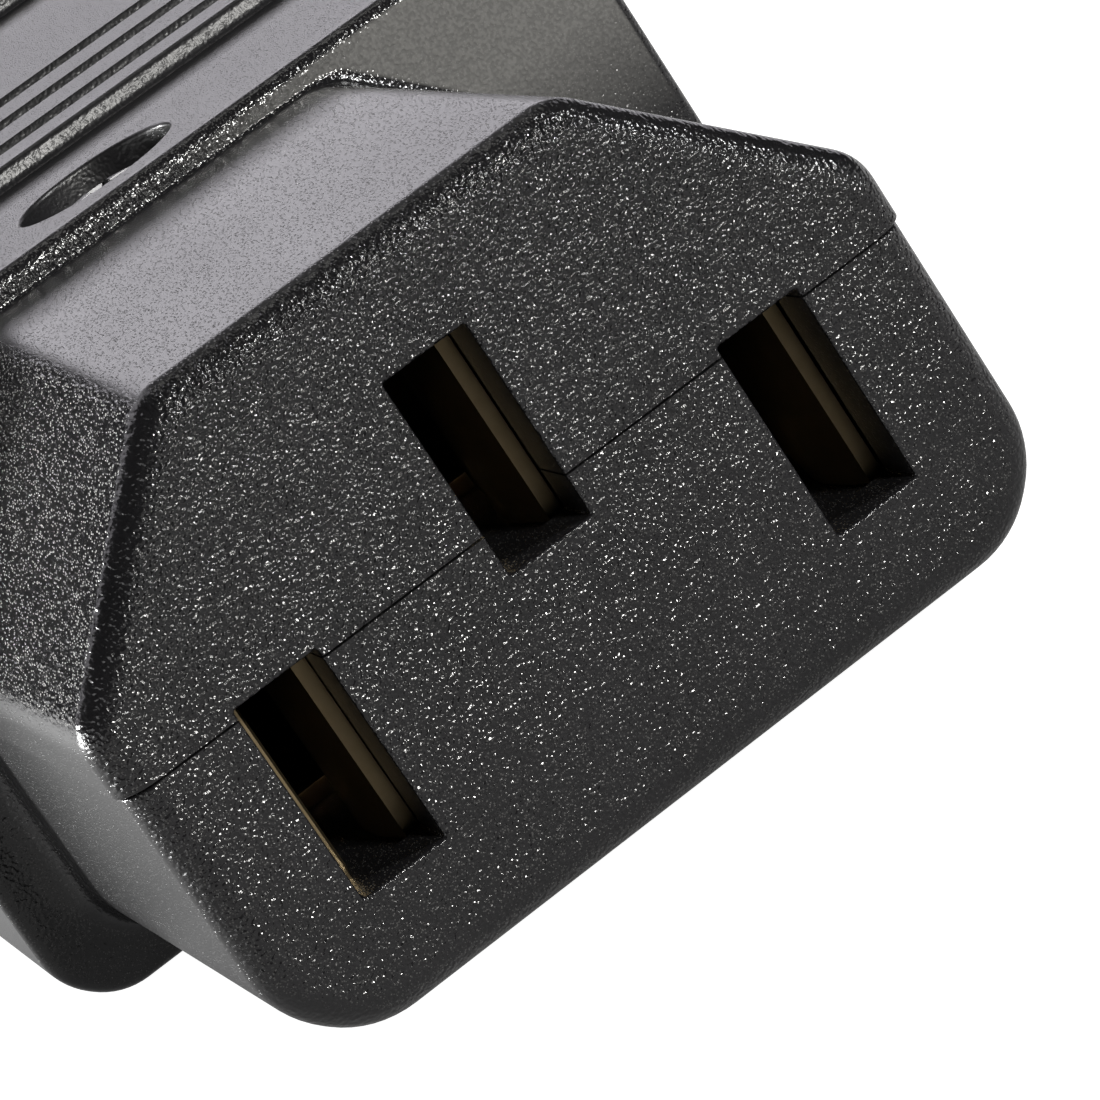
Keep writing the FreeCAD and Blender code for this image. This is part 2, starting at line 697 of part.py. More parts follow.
# ---------------------------------------------------------------- contacts
def leaf_outline(sketch, x, side):
    """One spring leaf seen from above: flared tip, pinch, then the fold beside the pin."""
    inner_root = S["contact_half_width"] - S["leaf_thickness"]
    stations = (
        (S["tip_half_gap"], S["leaf_tip"]),
        (S["pinch_half_gap"], S["leaf_pinch"]),
        (inner_root, S["leaf_root"]),
        (inner_root, S["leaf_end"]),
    )
    inner = [(x + gap * side, y, None) for gap, y in stations]
    outer = [(x + (gap + S["leaf_thickness"]) * side, y, None) for gap, y in reversed(stations)]
    draw_outline(sketch, inner + outer)


def add_leaves(body, x, seat, height):
    """Both leaves of a contact, standing on the edges of its strip."""
    sketch = new_sketch(body, "leaves", "XY_Plane", seat)
    for side in (1, -1):
        leaf_outline(sketch, x, side)
    pad(body, sketch, height)


def build_power_contact(name, side):
    """Folded sheet contact: strip and terminal pad in one plane, two leaves folded up."""
    body = new_body(name + "_contact")
    half = S["contact_half_width"]
    pad_start = TERMINAL_Y - S["pad_length"] / 2
    pad_end = TERMINAL_Y + S["pad_length"] / 2
    pad_inner = TERMINAL_X - S["pad_width"] / 2
    pad_outer = TERMINAL_X + S["pad_width"] / 2
    strip = new_sketch(body, "strip", "XY_Plane", POWER_SEAT)
    corners = (
        (PIN_X - half, S["leaf_root"]),
        (PIN_X + half, S["leaf_root"]),
        (PIN_X + half, pad_start),
        (pad_outer, pad_start),
        (pad_outer, pad_end),
        (pad_inner, pad_end),
        (pad_inner, pad_start),
        (PIN_X - half, pad_start),
    )
    draw_outline(strip, [(x * side, y, None) for x, y in corners])
    draw_circle(strip, TERMINAL_X * side, TERMINAL_Y, S["screw_radius"] + S["clear_gap"])
    pad(body, strip, S["sheet_thickness"])
    add_leaves(body, PIN_X * side, POWER_SEAT, S["contact_drop"] + S["leaf_above"])
    return body


def build_earth_contact():
    """Earth contact: the same folded leaves on a straight tail that passes round the front screw."""
    body = new_body("earth_contact")
    narrow = S["contact_half_width"]
    wide = S["pad_width"] / 2
    shoulder = S["leaf_end"] + S["sheet_thickness"] + S["fit_gap"]
    tail_end = EARTH_TERMINAL_Y + S["pad_length"] / 2
    strip = new_sketch(body, "strip", "XY_Plane", EARTH_SEAT)
    draw_outline(
        strip,
        (
            (-narrow, S["leaf_root"], None),
            (narrow, S["leaf_root"], None),
            (narrow, shoulder, None),
            (wide, shoulder, None),
            (wide, tail_end, None),
            (-wide, tail_end, None),
            (-wide, shoulder, None),
            (-narrow, shoulder, None),
        ),
    )
    draw_circle(strip, ZERO, FRONT_SCREW_Y, S["earth_screw_hole_radius"])
    draw_circle(strip, ZERO, EARTH_TERMINAL_Y, S["screw_radius"] + S["clear_gap"])
    pad(body, strip, S["sheet_thickness"])
    add_leaves(body, ZERO, EARTH_SEAT, S["contact_drop"] + S["leaf_above"])
    return body


# ---------------------------------------------------------------- screws, nuts and washers
def build_screw(label, x, y, seat, length):
    """Pan-head screw with a cross recess: the underside of the head is at the seat."""
    body = new_body(label)
    shank = S["screw_radius"]
    head = S["head_radius"]
    top = S["head_height"]
    profile = new_sketch(body, "profile", "XZ_Plane")
    draw_outline(
        profile,
        (
            (ZERO, -length, None),
            (shank * 0.25, -length, None),
            (shank, S["tip_length"] - length, None),
            (shank, ZERO, None),
            (head, ZERO, None),
            (head, top * 0.6, None),
            (head * 0.8, top, None),
            (ZERO, top, None),
        ),
    )
    turned = body.newObject("PartDesign::Revolution", label + "_turned")
    turned.Profile = profile
    turned.ReferenceAxis = (profile, ["V_Axis"])
    turned.Angle = 360
    cross = new_sketch(body, "cross", "XY_Plane", top)
    draw_outline(cross, cross_corners(S["recess_span"] / 2, S["recess_width"] / 2))
    pocket(body, cross, S["recess_depth"])
    place(body, x, y, seat)
    return body


def cross_corners(reach, half):
    """Twelve corners of a plus sign, going round once."""
    arm = ((half, half), (reach, half), (reach, -half), (half, -half))
    turns = ((1, 0), (0, -1), (-1, 0), (0, 1))
    corners = []
    for cosine, sine in turns:
        for along, across in arm[1:]:
            corners.append((along * cosine - across * sine, along * sine + across * cosine, None))
    return corners


def build_square_piece(label, width, thickness, hole_radius, x, y, seat):
    """Square plate with a round hole: a nut plate or a clamp washer."""
    body = new_body(label)
    half = width / 2
    sketch = new_sketch(body, "outline", "XY_Plane")
    draw_box(sketch, -half, half, -half, half)
    draw_circle(sketch, ZERO, ZERO, hole_radius)
    pad(body, sketch, thickness)
    place(body, x, y, seat)
    return body


def build_terminals():
    """Nut plate, clamp washer and screw of each terminal, stacked on its contact's pad."""
    bodies = []
    tapped = S["screw_radius"] + S["thread_gap"]
    clear = S["screw_radius"] + S["clear_gap"]
    for name, x, y, seat in terminal_places():
        pad_top = seat + S["sheet_thickness"]
        washer_top = pad_top + S["washer_thickness"]
        nut_seat = seat - S["nut_thickness"]
        nut = (S["nut_width"], S["nut_thickness"], tapped, x, y, nut_seat)
        washer = (S["washer_width"], S["washer_thickness"], clear, x, y, pad_top)
        bodies.append(build_square_piece(name + "_nut_plate", *nut))
        bodies.append(build_square_piece(name + "_clamp_washer", *washer))
        bodies.append(build_screw(name + "_terminal_screw", x, y, washer_top, S["terminal_screw_length"]))
    return bodies


def build_housing_screws():
    """Screws that hold the cover to the base, sunk in their counterbores."""
    length = S["housing_screw_length"]
    places = housing_screw_places()
    return [build_screw(label, x, y, head_seat(top), length) for label, x, y, top in places]


# ---------------------------------------------------------------- cord clamp
def build_cord_clamp():
    """Saddle over the cord's cradle and its two screws."""
    bar = new_body("cord_clamp_bar")
    thick = S["clamp_thickness"]
    inner = S["clamp_inner_radius"]
    front = CLAMP_Y - S["clamp_length"] / 2
    ears = new_sketch(bar, "ears", "XZ_Plane", front)
    draw_box(ears, -CLAMP_HALF, CLAMP_HALF, PART_Z, PART_Z + thick)
    pad(bar, ears, S["clamp_length"], reverse=True)
    arch = new_sketch(bar, "arch", "XZ_Plane", front)
    half_outline(arch, CLAMP_OUTER, PART_Z, PART_Z + CLAMP_OUTER, inner)
    pad(bar, arch, S["clamp_length"], reverse=True)
    bore = new_sketch(bar, "bore", "XZ_Plane", front)
    draw_circle(bore, ZERO, CORD_Z, inner)
    pocket(bar, bore, S["clamp_length"])
    holes = new_sketch(bar, "holes", "XY_Plane", PART_Z + thick)
    for side in POWER_SIDES:
        draw_circle(holes, CLAMP_SCREW_X * side, CLAMP_Y, S["screw_radius"] + S["clear_gap"])
    pocket(bar, holes, thick)
    bodies = [bar]
    for side, name in zip(POWER_SIDES, ("right_cord_clamp_screw", "left_cord_clamp_screw")):
        seat = PART_Z + thick
        bodies.append(build_screw(name, CLAMP_SCREW_X * side, CLAMP_Y, seat, S["clamp_screw_length"]))
    return bodies


# ---------------------------------------------------------------- build, check and write
def check_document():
    """Stop if any object of the document failed."""
    for item in DOC.Objects:
        if "Invalid" in item.State or "Error" in item.State:
            raise RuntimeError(f"{item.Name} failed: {item.State}")


def check_cuts(body):
    """Stop if a pocket of the body took nothing away."""
    features = [item for item in body.Group if item.isDerivedFrom("PartDesign::Feature")]
    volumes = {item.Name: item.Shape.Volume for item in features}
    for item in features:
        if item.TypeId != "PartDesign::Pocket":
            continue
        if volumes[item.Name] > volumes[item.BaseFeature.Name] - 1e-6:
            raise RuntimeError(f"{item.Name} cuts nothing")


def write_parts(bodies):
    """Check each sub-part's solid and write it to its own STEP file."""
    os.makedirs("parts", exist_ok=True)
    for body in bodies:
        check_cuts(body)
        shape = body.Shape
        if shape.isNull() or not shape.isValid() or len(shape.Solids) != 1:
            raise RuntimeError(f"{body.Label}: {len(shape.Solids)} solids, valid {shape.isValid()}")
        shape.exportStep(f"parts/{body.Label}.step")
        print(f"{body.Label:28s} {shape.Volume:10.2f} mm3  {len(shape.Faces):4d} faces")


def main():
    """Build every sub-part of the connector."""
    bodies = [build_lower_housing(), build_upper_housing()]
    bodies += [build_power_contact("line", 1), build_power_contact("neutral", -1), build_earth_contact()]
    bodies += build_terminals()
    bodies += build_housing_screws()
    bodies += build_cord_clamp()
    DOC.recompute()
    check_document()
    write_parts(bodies)


main()
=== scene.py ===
"""Looks of a rewireable C13-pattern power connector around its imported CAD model.

Sizes are written in millimetres in the frame of the CAD model: the origin is on the
engagement face, +X runs from neutral to line, +Y back into the connector and +Z up.
Every piece is scaled to metres once, when its mesh is made. Materials, lights and the
camera work in metres.
"""

import math

import bmesh
import bpy
import numpy as np
from mathutils import Matrix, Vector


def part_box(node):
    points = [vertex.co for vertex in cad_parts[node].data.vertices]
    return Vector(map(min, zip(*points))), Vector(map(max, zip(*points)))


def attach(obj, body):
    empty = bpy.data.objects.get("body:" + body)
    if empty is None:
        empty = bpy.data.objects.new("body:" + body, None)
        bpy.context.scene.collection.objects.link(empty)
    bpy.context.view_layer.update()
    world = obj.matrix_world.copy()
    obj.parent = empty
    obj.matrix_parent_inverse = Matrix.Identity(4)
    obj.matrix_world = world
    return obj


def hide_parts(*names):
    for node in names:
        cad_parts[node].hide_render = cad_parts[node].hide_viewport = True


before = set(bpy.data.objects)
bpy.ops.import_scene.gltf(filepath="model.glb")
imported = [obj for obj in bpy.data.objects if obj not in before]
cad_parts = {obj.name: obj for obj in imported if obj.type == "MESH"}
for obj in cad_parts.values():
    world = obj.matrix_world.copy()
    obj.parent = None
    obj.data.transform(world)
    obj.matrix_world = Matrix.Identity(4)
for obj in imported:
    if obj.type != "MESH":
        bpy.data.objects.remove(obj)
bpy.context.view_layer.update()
MM = 0.001

# ---------------------------------------------------------------- sizes of the housings
MEET_BASE, MEET_COVER = 2.4, 2.46  # the halves' faces on each side of the parting line
MEET_EDGE = 0.07
NOSE_LENGTH = 17.0
NOSE_HALF = 11.3
NOSE_TOP, NOSE_BOTTOM = 9.65, -5.65
NOSE_CUT = 5.47  # leg of the nose's 45 degree corners
COVER_CORNER, BASE_CORNER, COLLAR_CORNER = 1.5, 2.75, 2.0
FACE_EDGE, REAR_EDGE = 0.9, 0.8
SIDE_DRAFT, TOP_DRAFT, BOTTOM_DRAFT = 0.15, 0.5, 0.1
COVER_PROUD = 0.12
COLLAR_HALF = 13.5
COLLAR_TOP, COLLAR_BOTTOM = 10.95, -6.3
HOLLOW, HOLLOW_GAIN = 0.12, 0.95  # between nose and collar: above and below, and more at the sides
HOLLOW_ROOM = 1.2
COVER_EDGE, COVER_EDGE_GAIN = 0.42, -0.04  # of the collar's front: above, and more at the sides
BASE_EDGE, BASE_EDGE_GAIN = 0.3, 0.1
CORNER_ROOM = 2.2  # height of the collar's top corners, which move and don't stretch
GRIP_START, GRIP_TOP = 27.5, 11.55
GROOVE_START, GROOVE_PITCH, GROOVES = 2.75, 3.9, 3
REAR_START, REAR_TOP = 54.6, 12.3
END = 63.0
PIN_X, EARTH_Z = 7.0, 4.0
SLOT_HALF, SLOT_TALL = 1.18, 2.68
SLOT_CORNER, SLOT_LIP = 0.08, 0.09
FRONT_WALL = 1.8
CHANNEL_HALF, CHANNEL_TOP = 2.2, 3.0
EARTH_CAVITY_END, EARTH_CAVITY_TOP, TAIL_HALF = 14.5, 7.0, 2.9
BAY_HALF, BAY_CEILING, BAY_FLOOR = 11.5, 9.35, -4.3
BAY_CORNER = 0.8
SIDE_SEAT, EARTH_SEAT = -2.9, 1.1  # undersides of the contact strips
SIDE_POST = (5.4, 12.5, 27.0, 34.7)  # lowest and highest x, lowest and highest y
EARTH_POST = (-2.8, 2.8, 35.7, 42.7)
CLAMP_BLOCK = (-9.8, 9.8, 47.5, 52.5)
POST_FOOT = -4.6  # a little inside the tray's floor, so that the post grows from it
CORD_Z = 2.4
ENTRY_RADIUS, CRADLE_RADIUS = 4.1, 3.8
COUNTERBORE, COUNTERBORE_DEPTH = 2.35, 2.1
NEST_HALF, NEST_DEPTH, RELIEF_DEPTH = 2.8, 1.6, 2.3
SHANK, CLEARANCE_HOLE, PILOT, PILOT_DEPTH = 1.45, 1.65, 1.5, 14.3
PAST, LAP = 1.0, 0.5  # how far a cutter reaches past a face, and into the next hollow
SHARP_ANGLE = math.radians(32)


# ---------------------------------------------------------------- outlines
def rounded(corners, radii, per_arc=8, per_side=0):
    """Closed outline through corners given counter-clockwise, each rounded to its radius.

    An arc's centre lies at corner - r (n0 + n1) / (1 + n0.n1), with n0 and n1 the outward
    normals of the two sides, and its points are centre + r (cos a, sin a) while a turns
    from one normal to the other. Returns the points and their outward normals.
    """
    corners = np.asarray(corners, float)
    radii = np.broadcast_to(np.asarray(radii, float), (len(corners),))[:, None]
    along = np.roll(corners, -1, 0) - corners
    along /= np.linalg.norm(along, axis=1)[:, None]
    after = np.stack([along[:, 1], -along[:, 0]], 1)
    before = np.roll(after, 1, 0)
    centre = corners - radii * (before + after) / (1 + (before * after).sum(1))[:, None]
    start = np.arctan2(before[:, 1], before[:, 0])
    turn = (np.arctan2(after[:, 1], after[:, 0]) - start + math.pi) % (2 * math.pi) - math.pi
    angle = start[:, None] + turn[:, None] * np.linspace(0, 1, per_arc + 1)
    normal = np.stack([np.cos(angle), np.sin(angle)], 2)
    points = centre[:, None] + radii[:, None] * normal
    if per_side:
        share = np.linspace(0, 1, per_side + 2)[1:-1][None, :, None]
        last, first = points[:, -1:], np.roll(points, -1, 0)[:, :1]
        points = np.concatenate([points, last + (first - last) * share], 1)
        normal = np.concatenate([normal, np.repeat(normal[:, -1:], per_side, 1)], 1)
    return points.reshape(-1, 2), normal.reshape(-1, 2)


def box_outline(x0, x1, y0, y1, radius=0.3, per_arc=5):
    """Rectangle with rounded corners."""
    return rounded([(x0, y0), (x1, y0), (x1, y1), (x0, y1)], radius, per_arc)


def circle_outline(x, y, radius, count=64):
    """Circle: centre + r (cos a, sin a)."""
    angle = np.arange(count) * 2 * math.pi / count
    normal = np.stack([np.cos(angle), np.sin(angle)], 1)
    return np.array([x, y]) + radius * normal, normal


def smooth_outline(points):
    """Any closed outline, with normals square to the line between each point's neighbours."""
    points = np.asarray(points, float)
    along = np.roll(points, -1, 0) - np.roll(points, 1, 0)
    along /= np.linalg.norm(along, axis=1)[:, None]
    return points, np.stack([along[:, 1], -along[:, 0]], 1)


# ---------------------------------------------------------------- meshes
def mesh_object(name, vertices, faces):
    """Object at the origin from points in millimetres: doubles merged, faces turned outwards."""
    mesh = bpy.data.meshes.new(name)
    mesh.from_pydata((np.asarray(vertices) * MM).tolist(), [], faces)
    shell = bmesh.new()
    shell.from_mesh(mesh)
    bmesh.ops.remove_doubles(shell, verts=shell.verts, dist=1e-7)
    bmesh.ops.recalc_face_normals(shell, faces=shell.faces)
    shell.to_mesh(mesh)
    shell.free()
    piece = bpy.data.objects.new(name, mesh)
    bpy.context.scene.collection.objects.link(piece)
    return piece


def ring_quads(stations, count):
    """Quads between rings of count points: point j of ring i has the number i count + j."""
    row = np.arange(stations - 1)[:, None] * count
    here = np.arange(count)[None]
    there = (here + 1) % count
    quads = np.stack([row + here, row + there, row + count + there, row + count + here], 2)
    return quads.reshape(-1, 4).tolist()


def tube_solid(name, rings):
    """Closed solid through rings of points, shape (stations, points, 3): quads between the
    rings and one flat face over the first and over the last ring."""
    stations, count = rings.shape[:2]
    faces = ring_quads(stations, count)
    faces.append(list(range(count)))
    faces.append(list(range((stations - 1) * count, stations * count)))
    return mesh_object(name, rings.reshape(-1, 3), faces)


def swept(name, outline, stations, axis="y"):
    """An outline carried along an axis: ring i is points + offset_i normals, at place_i.

    stations holds (place, offset) pairs. Along y an outline is drawn in x and z, along z
    in x and y.
    """
    points, normals = outline
    places, offsets = np.asarray(stations, float).T
    flat = points[None] + offsets[:, None, None] * normals[None]
    along = np.broadcast_to(places[:, None, None], flat.shape[:2] + (1,))
    if axis == "y":
        rings = np.concatenate([flat[..., :1], along, flat[..., 1:]], 2)
    else:
        rings = np.concatenate([flat, along], 2)
    return tube_solid(name, rings)


def soft_ends(low, high, radius, steps=4):
    """Stations of a solid whose two end edges are rounded.

    The offset is -r (1 - sin a), at r (1 - cos a) inwards from each end.
    """
    angle = np.linspace(0, math.pi / 2, steps + 1)
    offset = -radius * (1 - np.sin(angle))
    inward = radius * (1 - np.cos(angle))
    first = np.stack([low + inward, offset], 1)
    last = np.stack([high - inward, offset], 1)[::-1]
    return np.concatenate([first, last])


def flared(inner, mouth, radius, outwards, steps=6):
    """Stations of a cutter whose mouth widens in a quarter circle and leaves a rounded lip.

    The offset is r (1 - cos a), at r (1 - sin a) inside the mouth. One more station lies
    clear of the surface.
    """
    angle = np.linspace(0, math.pi / 2, steps + 1)
    place = mouth - outwards * radius * (1 - np.sin(angle))
    offset = radius * (1 - np.cos(angle))
    arc = np.stack([place, offset], 1)
    clear = (mouth + outwards * 0.4, radius + 0.1)
    return np.concatenate([[(inner, 0.0)], arc, [clear]])


def carve(piece, cutters, operation="DIFFERENCE"):
    """Cut closed solids out of a piece, or add them to it, and drop the cutters."""
    for cutter in cutters:
        step = piece.modifiers.new(cutter.name, "BOOLEAN")
        step.object = cutter
        step.operation = operation
        step.solver = "MANIFOLD"
    bpy.context.view_layer.update()
    graph = bpy.context.evaluated_depsgraph_get()
    mesh = bpy.data.meshes.new_from_object(piece.evaluated_get(graph))
    piece.modifiers.clear()
    piece.data = mesh
    for cutter in cutters:
        bpy.data.objects.remove(cutter)
    return piece


def finish_piece(piece, material, slot, *nodes):
    """Shade a piece, with flat faces kept flat, and let it ride and stand for its CAD nodes."""
    mesh = piece.data
    mesh.materials.clear()
    mesh.materials.append(material)
    mesh.polygons.foreach_set("use_smooth", np.ones(len(mesh.polygons), bool))
    mesh.set_sharp_from_angle(angle=SHARP_ANGLE)
    weight = piece.modifiers.new("flat faces stay flat", "WEIGHTED_NORMAL")
    weight.keep_sharp = True
    weight.weight = 100
    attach(piece, "root")
    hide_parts(*nodes)
    return piece


# ---------------------------------------------------------------- outer skins of the housings
QUARTER = np.linspace(0, math.pi / 2, 9)
ARC, SIDE = 8, 5


def half_section(half, far, cut, radius, meet):
    """Section of one half: flat where the halves meet, with two 45 degree corners far from there.

    Returns the points and the directions in which the section grows or shrinks: the
    outward normals, but level along the meeting edge, which never leaves its plane.
    """
    corners = [
        (half, meet), (half, far - cut), (half - cut, far),
        (cut - half, far), (-half, far - cut), (-half, meet),
    ]
    radii = [MEET_EDGE, radius, radius, radius, radius, MEET_EDGE]
    points, grow = rounded(corners, radii, ARC, SIDE)
    per_corner = ARC + 1 + SIDE
    low = np.r_[0:ARC + 1, 5 * per_corner:5 * per_corner + ARC + 1]
    grow[low] = np.stack([np.sign(points[low, 0]), np.zeros(len(low))], 1)
    meeting = np.r_[5 * per_corner + ARC + 1:6 * per_corner]
    grow[meeting] = np.stack([points[meeting, 0] / half, np.zeros(SIDE)], 1)
    return points, grow


def right_angle_cut(radius):
    """Leg of the 45 degree corner whose two roundings make up almost a quarter circle."""
    return 0.62 * radius


def ring(section, offset, y):
    """One ring: a section moved along its directions, with offset and y single or per point."""
    points, grow = section
    moved = points + np.asarray(offset)[..., None] * grow
    return np.stack([moved[:, 0], np.broadcast_to(y, len(moved)), moved[:, 1]], 1)


def blended(first, last, share):
    """Section between two sections with the same count of points."""
    return tuple(a + (b - a) * share for a, b in zip(first, last))


def nose_rings(face, root, hollow):
    """Rings of the nose: rounded engagement edge, drafted sides, hollow against the collar.

    The engagement edge is the quarter circle offset -r (1 - sin a), y = r (1 - cos a).
    The hollow is offset h (1 - cos a), y = length - h (1 - sin a), with h per point.
    """
    rings = []
    for angle in QUARTER:
        y = FACE_EDGE * (1 - math.cos(angle))
        section = blended(face, root, y / NOSE_LENGTH)
        rings.append(ring(section, -FACE_EDGE * (1 - math.sin(angle)), y))
    for share in (0.25, 0.5, 0.75):
        y = FACE_EDGE + (NOSE_LENGTH - HOLLOW_ROOM - FACE_EDGE) * share
        rings.append(ring(blended(face, root, y / NOSE_LENGTH), 0.0, y))
    for angle in QUARTER:
        y = NOSE_LENGTH - hollow * (1 - math.sin(angle))
        rings.append(ring(root, hollow * (1 - math.cos(angle)), y))
    return rings


def collar_rings(root, hollow, collar, edge):
    """Rings of the collar's front face and of its rounded front edge.

    The edge is offset -e (1 - sin a), y = start + e (1 - cos a), with its radius e per point.
    """
    inner = ring(root, hollow, NOSE_LENGTH)
    outer = ring(collar, -edge, NOSE_LENGTH)
    rings = [inner + (outer - inner) * share for share in (0.35, 0.7)]
    for angle in QUARTER:
        y = NOSE_LENGTH + edge * (1 - math.cos(angle))
        rings.append(ring(collar, -edge * (1 - math.sin(angle)), y))
    return rings


def rear_rings(section):
    """Rings of the rounded rear edge: offset -r (1 - cos a), y = end - r (1 - sin a)."""
    return [
        ring(section, -REAR_EDGE * (1 - math.cos(a)), END - REAR_EDGE * (1 - math.sin(a)))
        for a in QUARTER
    ]


def raised(section, low, high, meet):
    """The same section with its top lifted from low to high.

    The lift is (high - low) times a share that goes from 0 at the meeting edge to 1 where
    the corners start, so the sides stretch and the corners keep their form.
    """
    points, grow = section
    lift = np.clip((points[:, 1] - meet) / (low - CORNER_ROOM - meet), 0, 1) * (high - low)
    return points + np.stack([np.zeros(len(points)), lift], 1), grow


def step_profile(y, low, high, hollow=0.3, edge=0.25, steps=5):
    """Places and heights of a step up: a hollow quarter circle, a steep wall, a rounded edge."""
    angle = np.linspace(0, math.pi / 2, steps + 1)
    wall = y + 0.02
    foot = np.stack([y - hollow * (1 - np.sin(angle)), low + hollow * (1 - np.cos(angle))], 1)
    brow = np.stack([wall + edge * (1 - np.cos(angle)), high - edge * (1 - np.sin(angle))], 1)
    return np.concatenate([foot, brow])


def level_stretch(places, top):
    """Places and heights of a stretch without a step: the same height at every place."""
    return np.stack([places, np.full(len(places), top)], 1)


def groove_depths(y, middles, width=1.3, depth=0.5, soft=0.14):
    """Depth of the grip grooves at y: smooth steps 3 t^2 - 2 t^3 down and up at each groove."""
    away = np.abs(np.asarray(y)[:, None] - np.asarray(middles)[None])
    share = np.clip((width / 2 + soft - away) / (2 * soft), 0, 1)
    return depth * (share**2 * (3 - 2 * share)).max(1)


def cover_skin():
    """Closed outer form of the cover, before anything is cut from it."""
    half = NOSE_HALF + COVER_PROUD
    face = half_section(half, NOSE_TOP, NOSE_CUT, COVER_CORNER, MEET_COVER)
    grown = NOSE_CUT + TOP_DRAFT + SIDE_DRAFT
    root = half_section(half + SIDE_DRAFT, NOSE_TOP + TOP_DRAFT, grown, COVER_CORNER, MEET_COVER)
    cut = right_angle_cut(COLLAR_CORNER)
    collar = half_section(COLLAR_HALF + COVER_PROUD, COLLAR_TOP, cut, COLLAR_CORNER, MEET_COVER)
    sideways = root[1][:, 0] ** 2
    hollow = HOLLOW + HOLLOW_GAIN * sideways
    edge = COVER_EDGE + COVER_EDGE_GAIN * sideways
    rings = nose_rings(face, root, hollow) + collar_rings(root, hollow, collar, edge)

    grooves = GRIP_START + GROOVE_START + GROOVE_PITCH * np.arange(GROOVES)
    across = np.linspace(-1.0, 1.0, 21)
    profile = np.concatenate([
        level_stretch([18.5, 22.0, 25.5], COLLAR_TOP),
        step_profile(GRIP_START, COLLAR_TOP, GRIP_TOP),
        level_stretch([28.6], GRIP_TOP),
        level_stretch((grooves[:, None] + across[None]).ravel(), GRIP_TOP),
        level_stretch([42.0, 46.0, 50.0], GRIP_TOP),
        step_profile(REAR_START, GRIP_TOP, REAR_TOP),
        level_stretch([56.5, 60.0], REAR_TOP),
    ])
    depths = groove_depths(profile[:, 0], grooves)
    for (y, top), depth in zip(profile, depths):
        points, grow = raised(collar, COLLAR_TOP, top, MEET_COVER)
        if depth:
            points[:, 1] = np.minimum(points[:, 1], top - depth)
        rings.append(ring((points, grow), 0.0, y))
    rings += rear_rings(raised(collar, COLLAR_TOP, REAR_TOP, MEET_COVER))
    return tube_solid("cover", np.stack(rings))


def base_skin():
    """Closed outer form of the base: the same kind of section, turned over."""
    cut = right_angle_cut(BASE_CORNER)
    face = half_section(NOSE_HALF, -NOSE_BOTTOM, cut, BASE_CORNER, -MEET_BASE)
    far = BOTTOM_DRAFT - NOSE_BOTTOM
    root = half_section(NOSE_HALF + SIDE_DRAFT, far, cut, BASE_CORNER, -MEET_BASE)
    cut = right_angle_cut(COLLAR_CORNER)
    collar = half_section(COLLAR_HALF, -COLLAR_BOTTOM, cut, COLLAR_CORNER, -MEET_BASE)
    sideways = root[1][:, 0] ** 2
    hollow = HOLLOW + HOLLOW_GAIN * sideways
    edge = BASE_EDGE + BASE_EDGE_GAIN * sideways
    rings = nose_rings(face, root, hollow) + collar_rings(root, hollow, collar, edge)
    rings += [ring(collar, 0.0, y) for y in (24.0, 36.0, 50.0)]
    rings += rear_rings(collar)
    return tube_solid("base", np.stack(rings) * np.array([1.0, 1.0, -1.0]))


# ---------------------------------------------------------------- hollows of the housings
def slot_cutters():
    """Three upright pin slots with slightly rounded lips."""
    stations = flared(FRONT_WALL + LAP, 0.0, SLOT_LIP, -1)
    cutters = []
    for x, z in ((PIN_X, 0.0), (-PIN_X, 0.0), (0.0, EARTH_Z)):
        sides = x - SLOT_HALF, x + SLOT_HALF, z - SLOT_TALL, z + SLOT_TALL
        cutters.append(swept("slot", box_outline(*sides, SLOT_CORNER, 3), stations))
    return cutters


def block(name, x0, x1, y0, y1, z0, z1, radius=0.3):
    """Upright block with rounded upright edges."""
    return swept(name, box_outline(x0, x1, y0, y1, radius), [(z0, 0.0), (z1, 0.0)], "z")


def bore(name, x, y, radius, inner, mouth, outwards, lip=0.12):
    """Round upright hole cutter with a rounded lip at its mouth."""
    return swept(name, circle_outline(x, y, radius), flared(inner, mouth, lip, outwards), "z")


def channel_cutters(low, high):
    """The channels behind the two level pin slots, from one height to another."""
    half, back = CHANNEL_HALF, GRIP_START + LAP
    return [
        block("channel", x - half, x + half, FRONT_WALL, back, low, high) for x in (PIN_X, -PIN_X)
    ]


def entry_cutter():
    """Round cable entry through the rear block, with a wide rounded mouth."""
    stations = flared(REAR_START - LAP, END, REAR_EDGE, 1, 10)
    return swept("entry", circle_outline(0, CORD_Z, ENTRY_RADIUS, 96), stations)


HOUSING_SCREWS = (
    ("front_housing_screw", COLLAR_TOP),
    ("right_rear_housing_screw", REAR_TOP),
    ("left_rear_housing_screw", REAR_TOP),
)


def node_corners(node):
    """Lowest and highest corner of a CAD node's box, in millimetres."""
    return tuple(np.array(corner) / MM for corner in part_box(node))


def node_middle(node):
    """Middle of a CAD node's box across x and y, in millimetres."""
    low, high = node_corners(node)
    return (low + high)[:2] / 2


